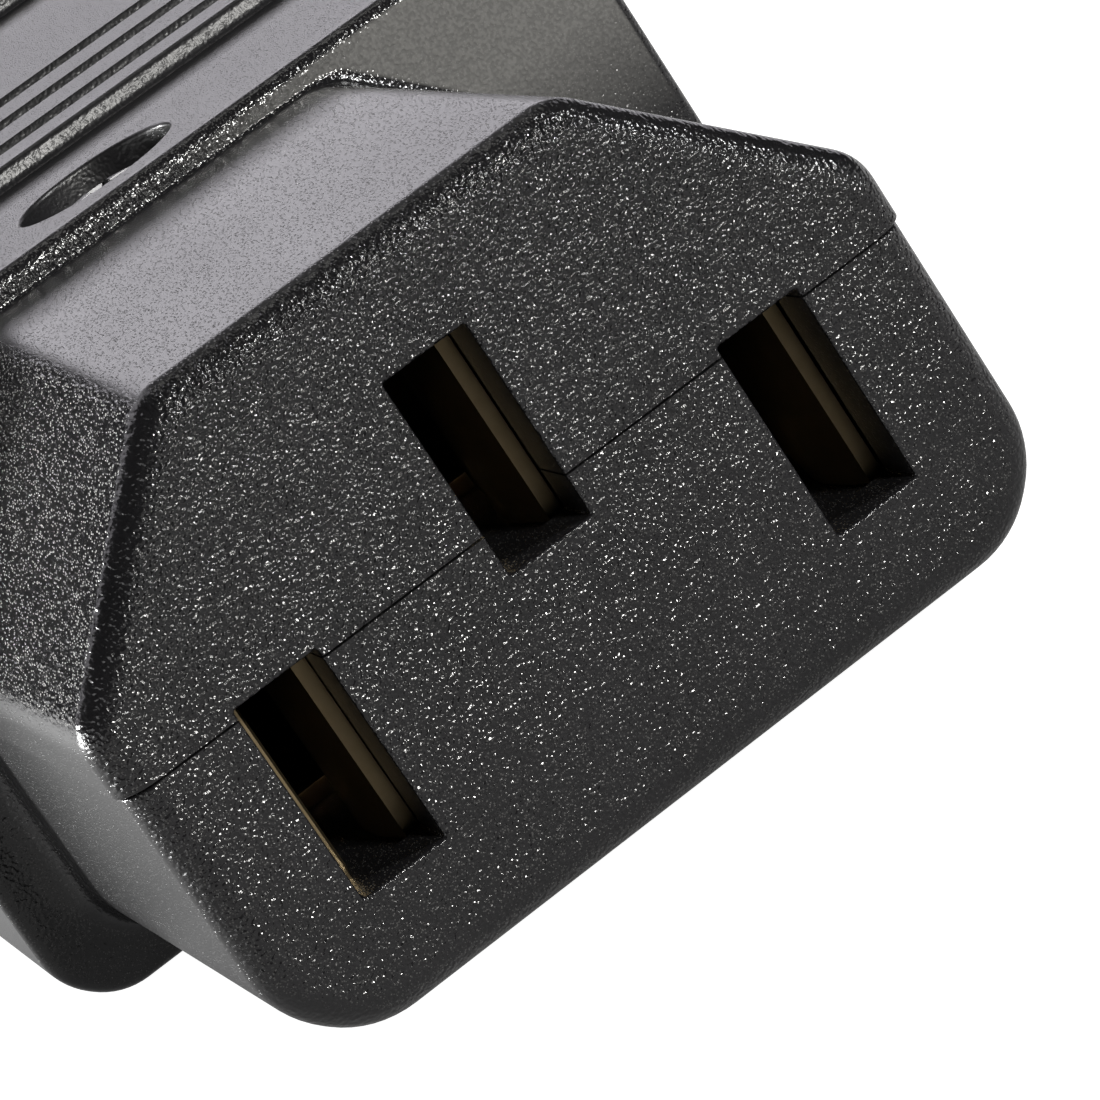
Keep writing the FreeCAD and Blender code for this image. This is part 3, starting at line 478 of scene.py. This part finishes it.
def make_cover(material):
    """Cover half with its hollows, slots, cable entry and counterbored screw holes."""
    piece = cover_skin()
    low = MEET_COVER - PAST
    cutters = [
        block("bay", -BAY_HALF, BAY_HALF, GRIP_START, REAR_START, low, BAY_CEILING, BAY_CORNER),
        *channel_cutters(low, CHANNEL_TOP),
        block("earth_cavity", -CHANNEL_HALF, CHANNEL_HALF, FRONT_WALL, EARTH_CAVITY_END, low,
              EARTH_CAVITY_TOP),
        *slot_cutters(),
        entry_cutter(),
    ]
    for node, top in HOUSING_SCREWS:
        x, y = node_middle(node)
        cutters.append(bore("counterbore", x, y, COUNTERBORE, top - COUNTERBORE_DEPTH, top, 1))
        shaft = circle_outline(x, y, CLEARANCE_HOLE, 32)
        cutters.append(swept("clearance", shaft, [(low, 0), (top, 0)], "z"))
    carve(piece, cutters)
    return finish_piece(piece, material, "housing_plastic", "upper_housing")


CLAMP_SCREWS = ("right_cord_clamp_screw", "left_cord_clamp_screw")
TERMINALS = (
    ("line", SIDE_SEAT),
    ("neutral", SIDE_SEAT),
    ("earth", EARTH_SEAT),
)


def make_base(material):
    """Base half: hollowed tray, pillars under the terminals and the cord clamp's block."""
    piece = base_skin()
    high = MEET_BASE + PAST
    carve(piece, [
        block("bay", -BAY_HALF, BAY_HALF, GRIP_START, REAR_START, BAY_FLOOR, high, BAY_CORNER),
        *channel_cutters(SIDE_SEAT, high),
        block("earth_channel", -CHANNEL_HALF, CHANNEL_HALF, FRONT_WALL, EARTH_CAVITY_END + LAP,
              EARTH_SEAT, high),
        block("earth_tail", -TAIL_HALF, TAIL_HALF, EARTH_CAVITY_END, GRIP_START + LAP,
              EARTH_SEAT, high),
        *slot_cutters(),
    ])

    inner, outer, front, back = SIDE_POST
    carve(piece, [
        block("line_post", inner, outer, front, back, POST_FOOT, SIDE_SEAT),
        block("neutral_post", -outer, -inner, front, back, POST_FOOT, SIDE_SEAT),
        block("earth_post", *EARTH_POST, POST_FOOT, EARTH_SEAT),
        block("clamp_block", *CLAMP_BLOCK, POST_FOOT, MEET_BASE),
    ], "UNION")

    cutters = [entry_cutter()]
    cradle = [(CLAMP_BLOCK[2] - 0.1, 0), (CLAMP_BLOCK[3] + 0.1, 0)]
    cutters.append(swept("cradle", circle_outline(0, CORD_Z, CRADLE_RADIUS), cradle))
    for name, seat in TERMINALS:
        x, y = node_middle(name + "_nut_plate")
        low = seat - NEST_DEPTH
        cutters.append(block("nest", x - NEST_HALF, x + NEST_HALF, y - NEST_HALF, y + NEST_HALF,
                             low, seat + 0.2, 0.1))
        relief = circle_outline(x, y, CLEARANCE_HOLE, 32)
        cutters.append(swept("relief", relief, [(seat - RELIEF_DEPTH, 0), (seat, 0)], "z"))
    pilots = [(node, top - PILOT_DEPTH) for node, top in HOUSING_SCREWS]
    pilots += [(node, BAY_FLOOR) for node in CLAMP_SCREWS]
    for node, low in pilots:
        x, y = node_middle(node)
        cutters.append(bore("pilot", x, y, PILOT, low, MEET_BASE, 1, 0.2))
    carve(piece, cutters)
    return finish_piece(piece, material, "housing_plastic", "lower_housing")


# ---------------------------------------------------------------- contacts, plates and screws
STRIP, LEAF, LEAF_TALL = 0.5, 0.4, 5.2
LEAF_PLACES = (2.2, 4.3, 9.0, 14.0)  # tip, pinch, start of the fold and end
LEAF_GAPS = (0.9, 0.3, 1.3, 1.3)  # half the gap between two leaves at those places
SHEET_EDGE = 0.06
SIDE_STRIP = (
    (5.3, 9.0), (8.7, 9.0), (8.7, 27.7), (11.0, 27.7),
    (11.0, 34.7), (5.4, 34.7), (5.4, 27.7), (5.3, 27.7),
)
EARTH_STRIP = (
    (-1.7, 9.0), (1.7, 9.0), (1.7, 14.6), (2.8, 14.6),
    (2.8, 42.7), (-2.8, 42.7), (-2.8, 14.6), (-1.7, 14.6),
)
HEAD_RADIUS, HEAD_TALL, HEAD_SIDE = 2.15, 1.7, 0.75
POINT, TURN_STEP = 0.8, 0.1
THREAD_PITCH, THREAD_DEPTH = 0.8, 0.3
CROWN = 0.55
RECESS_HALF, RECESS_REACH, RECESS_DEPTH = 0.32, 1.3, 1.0
EAR_TALL, SADDLE_EDGE, ARCH_HALF, ARCH_CORNER = 1.5, 0.3, 5.3, 2.6


def leaf(x, side, low, high):
    """Spring leaf seen from above, carried upwards.

    Its inner line goes from the flared tip to the pinch and out to the fold in straight
    runs, smoothed by a running mean, and its outer line is one sheet further out.
    """
    y = np.linspace(LEAF_PLACES[0], LEAF_PLACES[-1], 40)
    gap = np.interp(y, LEAF_PLACES, LEAF_GAPS)
    soft = np.convolve(np.pad(gap, 4, mode="edge"), np.ones(9) / 9, "valid")
    inner = np.stack([x + soft * side, y], 1)
    outer = np.stack([x + (soft + LEAF) * side, y], 1)[::-1]
    loop = np.concatenate([inner, outer])
    if side > 0:
        loop = loop[::-1]
    return swept("leaf", smooth_outline(loop), soft_ends(low, high, SHEET_EDGE, 2), "z")


def make_contact(name, side, material):
    """Folded sheet contact: a strip with its terminal pad, and two leaves folded up from it."""
    seat = SIDE_SEAT if side else EARTH_SEAT
    x = PIN_X * side
    pad_x, pad_y = node_middle(name + "_nut_plate")
    corners = np.array(SIDE_STRIP if side else EARTH_STRIP) * [side or 1, 1]
    if side < 0:
        corners = corners[::-1]
    outline = rounded(corners, 0.04, 2)
    stations = soft_ends(seat, seat + STRIP, SHEET_EDGE, 2)
    piece = swept(name + "_blade_contact", outline, stations, "z")
    leaves = [leaf(x, way, seat, seat + LEAF_TALL) for way in (1, -1)]
    carve(piece, leaves, "UNION")
    low, high = seat - LAP, seat + STRIP
    holes = [bore("hole", pad_x, pad_y, CLEARANCE_HOLE, low, high, 1, 0.05)]
    if side == 0:
        front_x, front_y = node_middle("front_housing_screw")
        holes.append(bore("hole", front_x, front_y, 2.0, low, high, 1, 0.05))
    carve(piece, holes)
    return finish_piece(piece, material, "contact_brass", name + "_contact")


def make_plate(node, material, slot, hole):
    """Square plate with soft edges and a round hole, as large as its CAD node."""
    low, high = node_corners(node)
    x, y = node_middle(node)
    name = node.replace("_plate", "_square").replace("_washer", "_square")
    outline = box_outline(low[0], high[0], low[1], high[1], 0.25)
    piece = swept(name, outline, soft_ends(low[2], high[2], 0.12), "z")
    carve(piece, [bore("hole", x, y, hole, low[2] - LAP, high[2], 1, 0.08)])
    return finish_piece(piece, material, slot, node)


def screw_profile(bottom, top):
    """Places along a screw's axis and its radius there: point, shank, neck and domed head.

    The dome's radius is R (c cos a + (1 - c) cos^0.35 a), while its height goes as sin a.
    """
    seat = top - HEAD_TALL
    point = bottom + POINT
    brim = seat + HEAD_SIDE
    turns = np.arange(point, seat - 0.3, TURN_STEP)
    dome = np.linspace(0, math.pi / 2, 12)
    places = np.concatenate([
        [bottom, bottom], np.linspace(bottom, point, 6)[1:-1], turns, [seat - 0.15, seat, seat],
        [seat + 0.06, brim], brim + (HEAD_TALL - HEAD_SIDE) * np.sin(dome)[1:],
    ])
    radii = np.concatenate([
        [0.0, 0.3], np.linspace(0.36, SHANK, 6)[1:-1], np.full(len(turns), SHANK),
        [SHANK - 0.25, SHANK - 0.25, HEAD_RADIUS - 0.06], [HEAD_RADIUS, HEAD_RADIUS],
        HEAD_RADIUS * (CROWN * np.cos(dome) + (1 - CROWN) * np.cos(dome) ** 0.35)[1:],
    ])
    radii[-1] = 0.0
    return places, radii


def recess_outline(x, y):
    """Cross seen along the screw: three corners of one arm, turned by four quarter turns."""
    arm = [(RECESS_REACH, RECESS_HALF), (RECESS_REACH, -RECESS_HALF), (RECESS_HALF, -RECESS_HALF)]
    quarters = ((1, 0), (0, -1), (-1, 0), (0, 1))
    corners = [(c * u - s * v, s * u + c * v) for c, s in quarters for u, v in arm]
    return rounded(np.array(corners[::-1]) + [x, y], 0.05, 2)


def make_screw(node, material):
    """Pan-head screw turned about its axis, with a thread and a cross recess.

    The radius is a profile along the axis, and on the shank it is less by
    depth (1 - |2 t - 1|)^0.7, with t the share of the pitch at height z and angle a.
    """
    low, high = node_corners(node)
    x, y = node_middle(node)
    bottom, top = low[2], high[2]
    places, radii = screw_profile(bottom, top)
    angle = np.arange(40) * 2 * math.pi / 40
    share = ((places[:, None] - bottom) / THREAD_PITCH - angle[None] / (2 * math.pi)) % 1.0
    threaded = (places > bottom + 0.3) & (places < top - HEAD_TALL - 0.25)
    groove = THREAD_DEPTH * (1 - np.abs(2 * share - 1)) ** 0.7 * threaded[:, None]
    radius = np.maximum(radii[:, None] - groove, 0.0)
    height = np.broadcast_to(places[:, None], radius.shape)
    rings = np.stack([x + radius * np.cos(angle), y + radius * np.sin(angle), height], 2)
    name = node.replace("_screw", "_pan_screw")
    piece = mesh_object(name, rings.reshape(-1, 3), ring_quads(*radius.shape))
    depths = [(top - RECESS_DEPTH, -0.2), (top - 0.05, 0.0), (top + 0.3, 0.1)]
    carve(piece, [swept("recess", recess_outline(x, y), depths, "z")])
    return finish_piece(piece, material, "screw_steel", node)


def make_clamp(material):
    """Saddle over the cord: ears and arch drawn as one section across, carried along y."""
    low, high = node_corners("cord_clamp_bar")
    stations = soft_ends(low[1], high[1], SADDLE_EDGE)
    ears = box_outline(low[0], high[0], low[2], low[2] + EAR_TALL, 0.3)
    piece = swept("cord_saddle", ears, stations)
    arch = box_outline(-ARCH_HALF, ARCH_HALF, low[2], high[2], ARCH_CORNER, 8)
    carve(piece, [swept("arch", arch, stations)], "UNION")
    through = [(low[1] - PAST, 0), (high[1] + PAST, 0)]
    holes = [swept("mouth", circle_outline(0, CORD_Z, CRADLE_RADIUS, 80), through)]
    for node in CLAMP_SCREWS:
        x, y = node_middle(node)
        holes.append(bore("hole", x, y, CLEARANCE_HOLE, low[2] - PAST, low[2] + EAR_TALL, 1, 0.15))
    carve(piece, holes)
    return finish_piece(piece, material, "housing_plastic", "cord_clamp_bar")


# ---------------------------------------------------------------- materials, in metres
GRAIN_SCALE, FINER, CLOUD_SCALE = 10300.0, 1.6, 260.0
GRAIN_STRETCH = (1.0, 0.35, 1.0)
PIT_DEPTH, DOME_HEIGHT = 0.00002, 0.00002
PEAK_LOW, PEAK_HIGH = 0.000037, 0.000085  # heights of the peaks low and high on the part
BLACK, SOFT_BLACK = (0.006, 0.006, 0.0065), (0.011, 0.0105, 0.0115)
# Painted highlights: pale dots painted on the nose's 45 degree corners as glints, and a paler
# patch painted on the collar's front as sheen.
PAINTED_GLINT, PAINTED_SHEEN = (0.8, 0.788, 0.756), (0.25, 0.246, 0.234)
# Places along each axis between which a look fades in or out.
NOSE_ENDS, GRAIN_CALMS = (0.0172, 0.0178), (0.012, 0.017)
LOW_TO_HIGH = (-0.003, 0.01)
# These places bound a paler patch on the collar's front, upper right: a painted sheen that stands
# in for brighter light and glints there.
SHEEN_STARTS, SHEEN_ENDS = (0.0165, 0.0175), (0.018, 0.022)
SHEEN_RIGHT, SHEEN_HIGH = (0.001, 0.007), (0.004, 0.0075)
WHOLE = (0.0, 1.0)
FADE = (1.0, 0.0)


def new_material(name):
    """Material with only its Principled shader and output: itself, its tree and the shader."""
    material = bpy.data.materials.new(name)
    material.use_nodes = True
    tree = material.node_tree
    return material, tree, tree.nodes["Principled BSDF"]


def new_group(name, sockets_in, sockets_out):
    """Empty node group with its sockets, and its input and output nodes."""
    group = bpy.data.node_groups.new(name, "ShaderNodeTree")
    for side, sockets in (("INPUT", sockets_in), ("OUTPUT", sockets_out)):
        for label, kind in sockets:
            group.interface.new_socket(name=label, in_out=side, socket_type="NodeSocket" + kind)
    return group, group.nodes.new("NodeGroupInput"), group.nodes.new("NodeGroupOutput")


def placed_group(tree, group, vector, **values):
    """Outputs of a node group placed in a material, fed with a vector and its own values."""
    node = tree.nodes.new("ShaderNodeGroup")
    node.node_tree = group
    tree.links.new(vector, node.inputs[0])
    for name, value in values.items():
        node.inputs[name].default_value = value
    return node.outputs


def mapped(tree, source, between, to, smooth=False):
    """Map Range from two values to two others, held beyond them; smooth is 3 t^2 - 2 t^3."""
    node = tree.nodes.new("ShaderNodeMapRange")
    node.interpolation_type = "SMOOTHSTEP" if smooth else "LINEAR"
    for name, value in zip(("From Min", "From Max", "To Min", "To Max"), (*between, *to)):
        node.inputs[name].default_value = value
    tree.links.new(source, node.inputs["Value"])
    return node.outputs["Result"]


def combined(tree, operation, *values):
    """Math node over sockets and numbers, and its result."""
    node = tree.nodes.new("ShaderNodeMath")
    node.operation = operation
    for socket, value in zip(node.inputs, values):
        if isinstance(value, float):
            socket.default_value = value
        else:
            tree.links.new(value, socket)
    return node.outputs[0]


def product(tree, first, *others):
    """All the values multiplied, one after another."""
    for other in others:
        first = combined(tree, "MULTIPLY", first, other)
    return first


def mixed(tree, factor, first, second, kind="RGBA"):
    """Mix of two colours or sockets, all of the second where the factor is 1."""
    node = tree.nodes.new("ShaderNodeMix")
    node.data_type = kind
    for name, value in (("Factor", factor), ("A", first), ("B", second)):
        if isinstance(value, tuple):
            node.inputs[name].default_value = (*value, 1)
        else:
            tree.links.new(value, node.inputs[name])
    return node.outputs["Result"]


def bumped(tree, height, strength, distance):
    """Bump node over a height, and its normal."""
    node = tree.nodes.new("ShaderNodeBump")
    node.inputs["Strength"].default_value = strength
    node.inputs["Distance"].default_value = distance
    tree.links.new(height, node.inputs["Height"])
    return node.outputs["Normal"]


def pattern(tree, kind, vector, scale, detail=None):
    """Noise or Voronoi texture over a vector, with its scale a number or a socket."""
    node = tree.nodes.new("ShaderNodeTex" + kind)
    tree.links.new(vector, node.inputs["Vector"])
    if isinstance(scale, float):
        node.inputs["Scale"].default_value = scale
    else:
        tree.links.new(scale, node.inputs["Scale"])
    if detail is not None:
        node.inputs["Detail"].default_value = detail
    return node.outputs


def spark_grain_group():
    """Node group: the skin that spark erosion leaves, and the finer one of polished walls.

    Peaks is n - 0.35 d^2, with d the distance to the nearest of many scattered points and n
    a fine noise. Pits and the glint dots use a finer set of points and the distance e to the
    nearest of them. Pits goes smoothly from -1 near a point to 0, times a random share for
    each point. The glint dots go smoothly from 1 to 0 a little further out, and only some
    points have one: they place the painted glints in the base colour and the domes under
    them. Cloud wanders slowly.
    """
    outputs = [(name, "Float") for name in ("Peaks", "Pits", "GlintPaintAndDome", "Cloud")]
    inputs = [("Vector", "Vector"), ("Scale", "Float")]
    group, start, end = new_group("spark_grain", inputs, outputs)
    place, scale = start.outputs["Vector"], start.outputs["Scale"]
    grain = pattern(group, "Noise", place, scale, 0.0)["Fac"]
    distance = pattern(group, "Voronoi", place, scale)["Distance"]
    square = product(group, distance, distance)
    peaks = combined(group, "MULTIPLY_ADD", square, -0.35, grain)
    points = pattern(group, "Voronoi", place, product(group, scale, FINER))
    bowl = mapped(group, points["Distance"], (0.1, 0.45), (-1.0, 0.0), True)
    dot = mapped(group, points["Distance"], (0.2, 0.45), FADE, True)
    chance = mapped(group, points["Color"], (0.3, 0.6), WHOLE)
    results = {
        "Peaks": peaks,
        "Pits": product(group, bowl, points["Color"]),
        "GlintPaintAndDome": product(group, dot, chance),
        "Cloud": pattern(group, "Noise", place, CLOUD_SCALE, 2.0)["Fac"],
    }
    for name, result in results.items():
        group.links.new(result, end.inputs[name])
    return group


def wall_group():
    """Node group: masks from the direction (x, y, z) in which the surface faces.

    Mask is 1 on level and upright walls, where |x| or |z| is near 1. Slant is 2 |x z|,
    which is 1 on the 45 degree corners and 0 on walls and end faces. Ends and Level are
    |y| and |z|.
    """
    outputs = [(name, "Float") for name in ("Mask", "Slant", "Ends", "Level")]
    group, start, end = new_group("smooth_walls", [("Normal", "Vector")], outputs)
    size = group.nodes.new("ShaderNodeVectorMath")
    size.operation = "ABSOLUTE"
    group.links.new(start.outputs["Normal"], size.inputs[0])
    parts = group.nodes.new("ShaderNodeSeparateXYZ")
    group.links.new(size.outputs["Vector"], parts.inputs[0])
    x, y, z = parts.outputs
    results = {
        "Mask": mapped(group, combined(group, "MAXIMUM", x, z), (0.75, 0.98), WHOLE, True),
        "Slant": product(group, x, z, 2.0),
        "Ends": y,
        "Level": z,
    }
    for name, result in results.items():
        group.links.new(result, end.inputs[name])
    return group


GRAIN = spark_grain_group()
WALLS = wall_group()


def spark_plastic():
    """Black moulded plastic: spark-eroded ends and corners, fine pits on walls and top.

    The nose's 45 degree corners carry painted glints: pale dots in the base colour, each on
    a small dome. They fade on the rounding towards an end face, where the product of Slant
    and Ends is large, and the grain is lower there. The collar's front has a painted sheen
    at its upper right: a paler patch in the base colour, with lower grain under it.
    """
    material, tree, shader = new_material("black_spark_plastic")
    place = tree.nodes.new("ShaderNodeTexCoord")
    drawn = tree.nodes.new("ShaderNodeMapping")
    drawn.inputs["Scale"].default_value = GRAIN_STRETCH
    tree.links.new(place.outputs["Object"], drawn.inputs["Vector"])
    grain = placed_group(tree, GRAIN, drawn.outputs["Vector"], Scale=GRAIN_SCALE)
    walls = placed_group(tree, WALLS, place.outputs["Normal"])
    parts = tree.nodes.new("ShaderNodeSeparateXYZ")
    tree.links.new(place.outputs["Object"], parts.inputs[0])
    x, y, z = parts.outputs
    nose = mapped(tree, y, NOSE_ENDS, FADE)
    rounding = product(tree, walls["Slant"], walls["Ends"])

    # Painted glints: pale dots in the base colour on the 45 degree corners, with a small real dome
    # under each.
    glint_paint_and_domes = product(
        tree, grain["GlintPaintAndDome"], mapped(tree, walls["Slant"], (0.8, 0.98), (0.06, 1.0)), nose,
        mapped(tree, rounding, (0.05, 0.2), FADE),
    )
    # Painted sheen: a paler patch in the base colour on the collar's front at its upper right,
    # where light and glints are brighter.
    painted_sheen = product(
        tree, mapped(tree, y, SHEEN_STARTS, WHOLE), mapped(tree, z, SHEEN_HIGH, WHOLE),
        mapped(tree, x, SHEEN_RIGHT, WHOLE), mapped(tree, walls["Ends"], (0.95, 0.995), WHOLE),
        mapped(tree, grain["Peaks"], (0.3, 0.6), (0.75, 1.0)), mapped(tree, y, SHEEN_ENDS, FADE),
    )
    colour = mixed(tree, grain["Cloud"], BLACK, SOFT_BLACK)
    # Base colour: soft black that wanders at random, then the painted glints, then the painted
    # sheen.
    colour = mixed(tree, glint_paint_and_domes, colour, PAINTED_GLINT)
    colour = mixed(tree, painted_sheen, colour, PAINTED_SHEEN)
    tree.links.new(colour, shader.inputs["Base Color"])

    rough = mapped(tree, walls["Mask"], WHOLE, (0.15, 0.27))
    rough = combined(tree, "ADD", rough, mapped(tree, grain["Cloud"], WHOLE, (0.0, 0.06)))
    polished = combined(tree, "MAXIMUM", nose, walls["Mask"])
    rough = combined(tree, "ADD", rough, mapped(tree, polished, WHOLE, (0.18, 0.0)))
    tree.links.new(rough, shader.inputs["Roughness"])

    depth = product(
        tree, mapped(tree, z, LOW_TO_HIGH, (PEAK_LOW, PEAK_HIGH)),
        mapped(tree, y, GRAIN_CALMS, (1.0, 0.4)),
        mapped(tree, walls["Slant"], WHOLE, (1.0, 0.6)), mapped(tree, nose, WHOLE, (0.45, 1.0)),
        mapped(tree, painted_sheen, (0.0, 0.6), (1.0, 0.2)),
        mapped(tree, rounding, (0.01, 0.25), (1.0, 0.6)),
    )
    domes = product(tree, glint_paint_and_domes, DOME_HEIGHT)
    peaks = combined(tree, "ADD", product(tree, grain["Peaks"], depth), domes)
    sunk = mapped(tree, walls["Level"], WHOLE, (0.6 * PIT_DEPTH, PIT_DEPTH))
    pits = product(tree, grain["Pits"], sunk)
    skin = mixed(tree, walls["Mask"], peaks, pits, "FLOAT")
    tree.links.new(bumped(tree, skin, 1.0, 1.0), shader.inputs["Normal"])
    return material


def metal(name, dark, light, rough, scale):
    """Metal whose colour and roughness wander over a noise pattern, with fine tool marks."""
    material, tree, shader = new_material(name)
    place = tree.nodes.new("ShaderNodeTexCoord").outputs["Object"]
    wander = pattern(tree, "Noise", place, scale, 4.0)["Fac"]
    shader.inputs["Metallic"].default_value = 1.0
    tree.links.new(mixed(tree, wander, dark, light), shader.inputs["Base Color"])
    tree.links.new(mapped(tree, wander, WHOLE, rough), shader.inputs["Roughness"])
    tree.links.new(bumped(tree, wander, 0.5, 0.00001), shader.inputs["Normal"])
    return material


PLASTIC = spark_plastic()
# The brass is painted far darker than real brass: painted shade, so that the contacts deep in the
# pin slots stay dark.
SHADE_DARKENED_BRASS = metal("shade_darkened_brass", (0.17, 0.13, 0.07), (0.26, 0.2, 0.12), (0.3, 0.5), 1800.0)
DARK_STEEL = metal(
    "blackened_steel", (0.06, 0.06, 0.065), (0.13, 0.13, 0.13), (0.32, 0.48), 2500.0
)
STEEL = metal("plated_steel", (0.42, 0.42, 0.43), (0.62, 0.62, 0.62), (0.28, 0.48), 2500.0)


# ---------------------------------------------------------------- pieces
make_cover(PLASTIC)
make_base(PLASTIC)
make_contact("line", 1, SHADE_DARKENED_BRASS)
make_contact("neutral", -1, SHADE_DARKENED_BRASS)
make_contact("earth", 0, SHADE_DARKENED_BRASS)
for terminal, _ in TERMINALS:
    make_plate(terminal + "_nut_plate", SHADE_DARKENED_BRASS, "contact_brass", PILOT)
    make_plate(terminal + "_clamp_washer", STEEL, "screw_steel", CLEARANCE_HOLE)
    make_screw(terminal + "_terminal_screw", STEEL)
for screw, _ in HOUSING_SCREWS:
    make_screw(screw, DARK_STEEL)
make_clamp(PLASTIC)
for screw in CLAMP_SCREWS:
    make_screw(screw, STEEL)


# ---------------------------------------------------------------- floor, lights and camera
FLOOR_HALF = 3000.0
STUDIO_REACH, STUDIO_MIDDLE = 0.8, np.array([0.0, 0.008, 0.002])
LILAC, WARM, NEUTRAL = (1.0, 0.97, 1.035), (1.0, 0.985, 0.95), (1.0, 1.0, 1.0)
# Name, direction round from +Y towards +X and height, width and height as seen from the
# object, all in degrees, brightness and colour.
STUDIO = (
    ("left_low", -45, 6, 8, 8, 150.0, NEUTRAL),
    ("left_wide", -67, 6, 8, 8, 40.0, NEUTRAL),
    ("back_high", -20, 38, 40, 26, 1.2, LILAC),
    ("back", 12, 18, 24, 14, 2.4, LILAC),
    ("back_side", -36, 18, 24, 14, 0.7, LILAC),
    ("back_right", 33, 10, 30, 20, 0.8, LILAC),
    ("front_right", 120, 34, 10, 10, 75.0, NEUTRAL),
    ("front_left", 255, 10, 25, 20, 2.0, NEUTRAL),
    ("overhead", 27, 63, 30, 22, 1.3, WARM),
    ("key", 166, 22, 5, 5, 390.0, WARM),
)
# The object's turn into the camera's frame, x right, y down and z ahead, as an axis times
# its angle, and then its shift in millimetres.
CAMERA_TURN = np.array([1.69991296, -0.72490641, -0.25842329])
CAMERA_SHIFT = np.array([0.73408395, 0.94416114, 114.25148681])
SENSOR, LENS_OVER_SENSOR = 36.0, 5000.0 / 1100.0


def make_floor():
    """Wide pale floor under the resting face, which glows more behind the object."""
    half, z = FLOOR_HALF, COLLAR_BOTTOM
    corners = [(-half, -half, z), (half, -half, z), (half, half, z), (-half, half, z)]
    floor = mesh_object("floor", corners, [[0, 1, 2, 3]])
    material, tree, shader = new_material("white_floor")
    shader.inputs["Base Color"].default_value = (0.4, 0.4, 0.4, 1)
    shader.inputs["Roughness"].default_value = 0.9
    shader.inputs["Emission Color"].default_value = (1, 1, 1, 1)
    seen = tree.nodes.new("ShaderNodeLightPath")
    place = tree.nodes.new("ShaderNodeTexCoord")
    parts = tree.nodes.new("ShaderNodeSeparateXYZ")
    tree.links.new(place.outputs["Object"], parts.inputs[0])
    behind = mapped(tree, parts.outputs["Y"], (0.0, 0.04), (0.06, 0.5))
    glow = combined(tree, "MAXIMUM", behind, seen.outputs["Is Camera Ray"])
    tree.links.new(glow, shader.inputs["Emission Strength"])
    floor.data.materials.append(material)


def make_panel(name, side, rise, width, tall, brightness, colour):
    """Rectangular area light that faces the object from 0.8 m away.

    Its direction is (sin s cos r, cos s cos r, sin r) for the turn s and the rise r, and its
    power is pi times brightness times area, as it is for an evenly glowing sheet.
    """
    side, rise, width, tall = np.radians([side, rise, width, tall])
    level = math.cos(rise)
    back = np.array([math.sin(side) * level, math.cos(side) * level, math.sin(rise)])
    across = np.cross((0.0, 0.0, 1.0), back)
    across /= np.linalg.norm(across)
    light = bpy.data.lights.new(name, "AREA")
    light.shape = "RECTANGLE"
    light.size = 2 * STUDIO_REACH * math.tan(width / 2) * level
    light.size_y = 2 * STUDIO_REACH * math.tan(tall / 2)
    light.energy = math.pi * light.size * light.size_y * brightness
    light.color = colour
    lamp = bpy.data.objects.new(name, light)
    bpy.context.scene.collection.objects.link(lamp)
    turn = np.eye(4)
    turn[:3, 0], turn[:3, 1], turn[:3, 2] = across, np.cross(back, across), back
    turn[:3, 3] = STUDIO_MIDDLE + STUDIO_REACH * back
    lamp.matrix_world = Matrix(turn.tolist())


def make_camera():
    """Long lens close to the engagement face, rolled so that the pin row climbs to the right.

    The turn R by angle a about the unit axis u is I + sin a K + (1 - cos a) K K, with K the
    cross product by u. The camera stands at -R^T times the shift.
    """
    angle = np.linalg.norm(CAMERA_TURN)
    x, y, z = CAMERA_TURN / angle
    cross = np.array([[0, -z, y], [z, 0, -x], [-y, x, 0]])
    turn = np.eye(3) + math.sin(angle) * cross + (1 - math.cos(angle)) * cross @ cross
    view = np.eye(4)
    view[:3, 0], view[:3, 1], view[:3, 2] = turn[0], -turn[1], -turn[2]
    view[:3, 3] = -turn.T @ CAMERA_SHIFT * MM
    lens = bpy.data.cameras.new("camera")
    lens.sensor_width = SENSOR
    lens.lens = SENSOR * LENS_OVER_SENSOR
    lens.clip_start = 0.005
    camera = bpy.data.objects.new("camera", lens)
    camera.matrix_world = Matrix(view.tolist())
    bpy.context.scene.collection.objects.link(camera)
    bpy.context.scene.camera = camera


def make_world():
    """White background that lights nothing: only the camera's own rays see it."""
    world = bpy.data.worlds.new("studio")
    world.use_nodes = True
    tree = world.node_tree
    background = tree.nodes["Background"]
    background.inputs["Color"].default_value = (1, 1, 1, 1)
    seen = tree.nodes.new("ShaderNodeLightPath")
    tree.links.new(seen.outputs["Is Camera Ray"], background.inputs["Strength"])
    bpy.context.scene.world = world


make_floor()
make_camera()
for panel in STUDIO:
    make_panel(*panel)
make_world()
bpy.context.scene.view_settings.view_transform = "Standard"
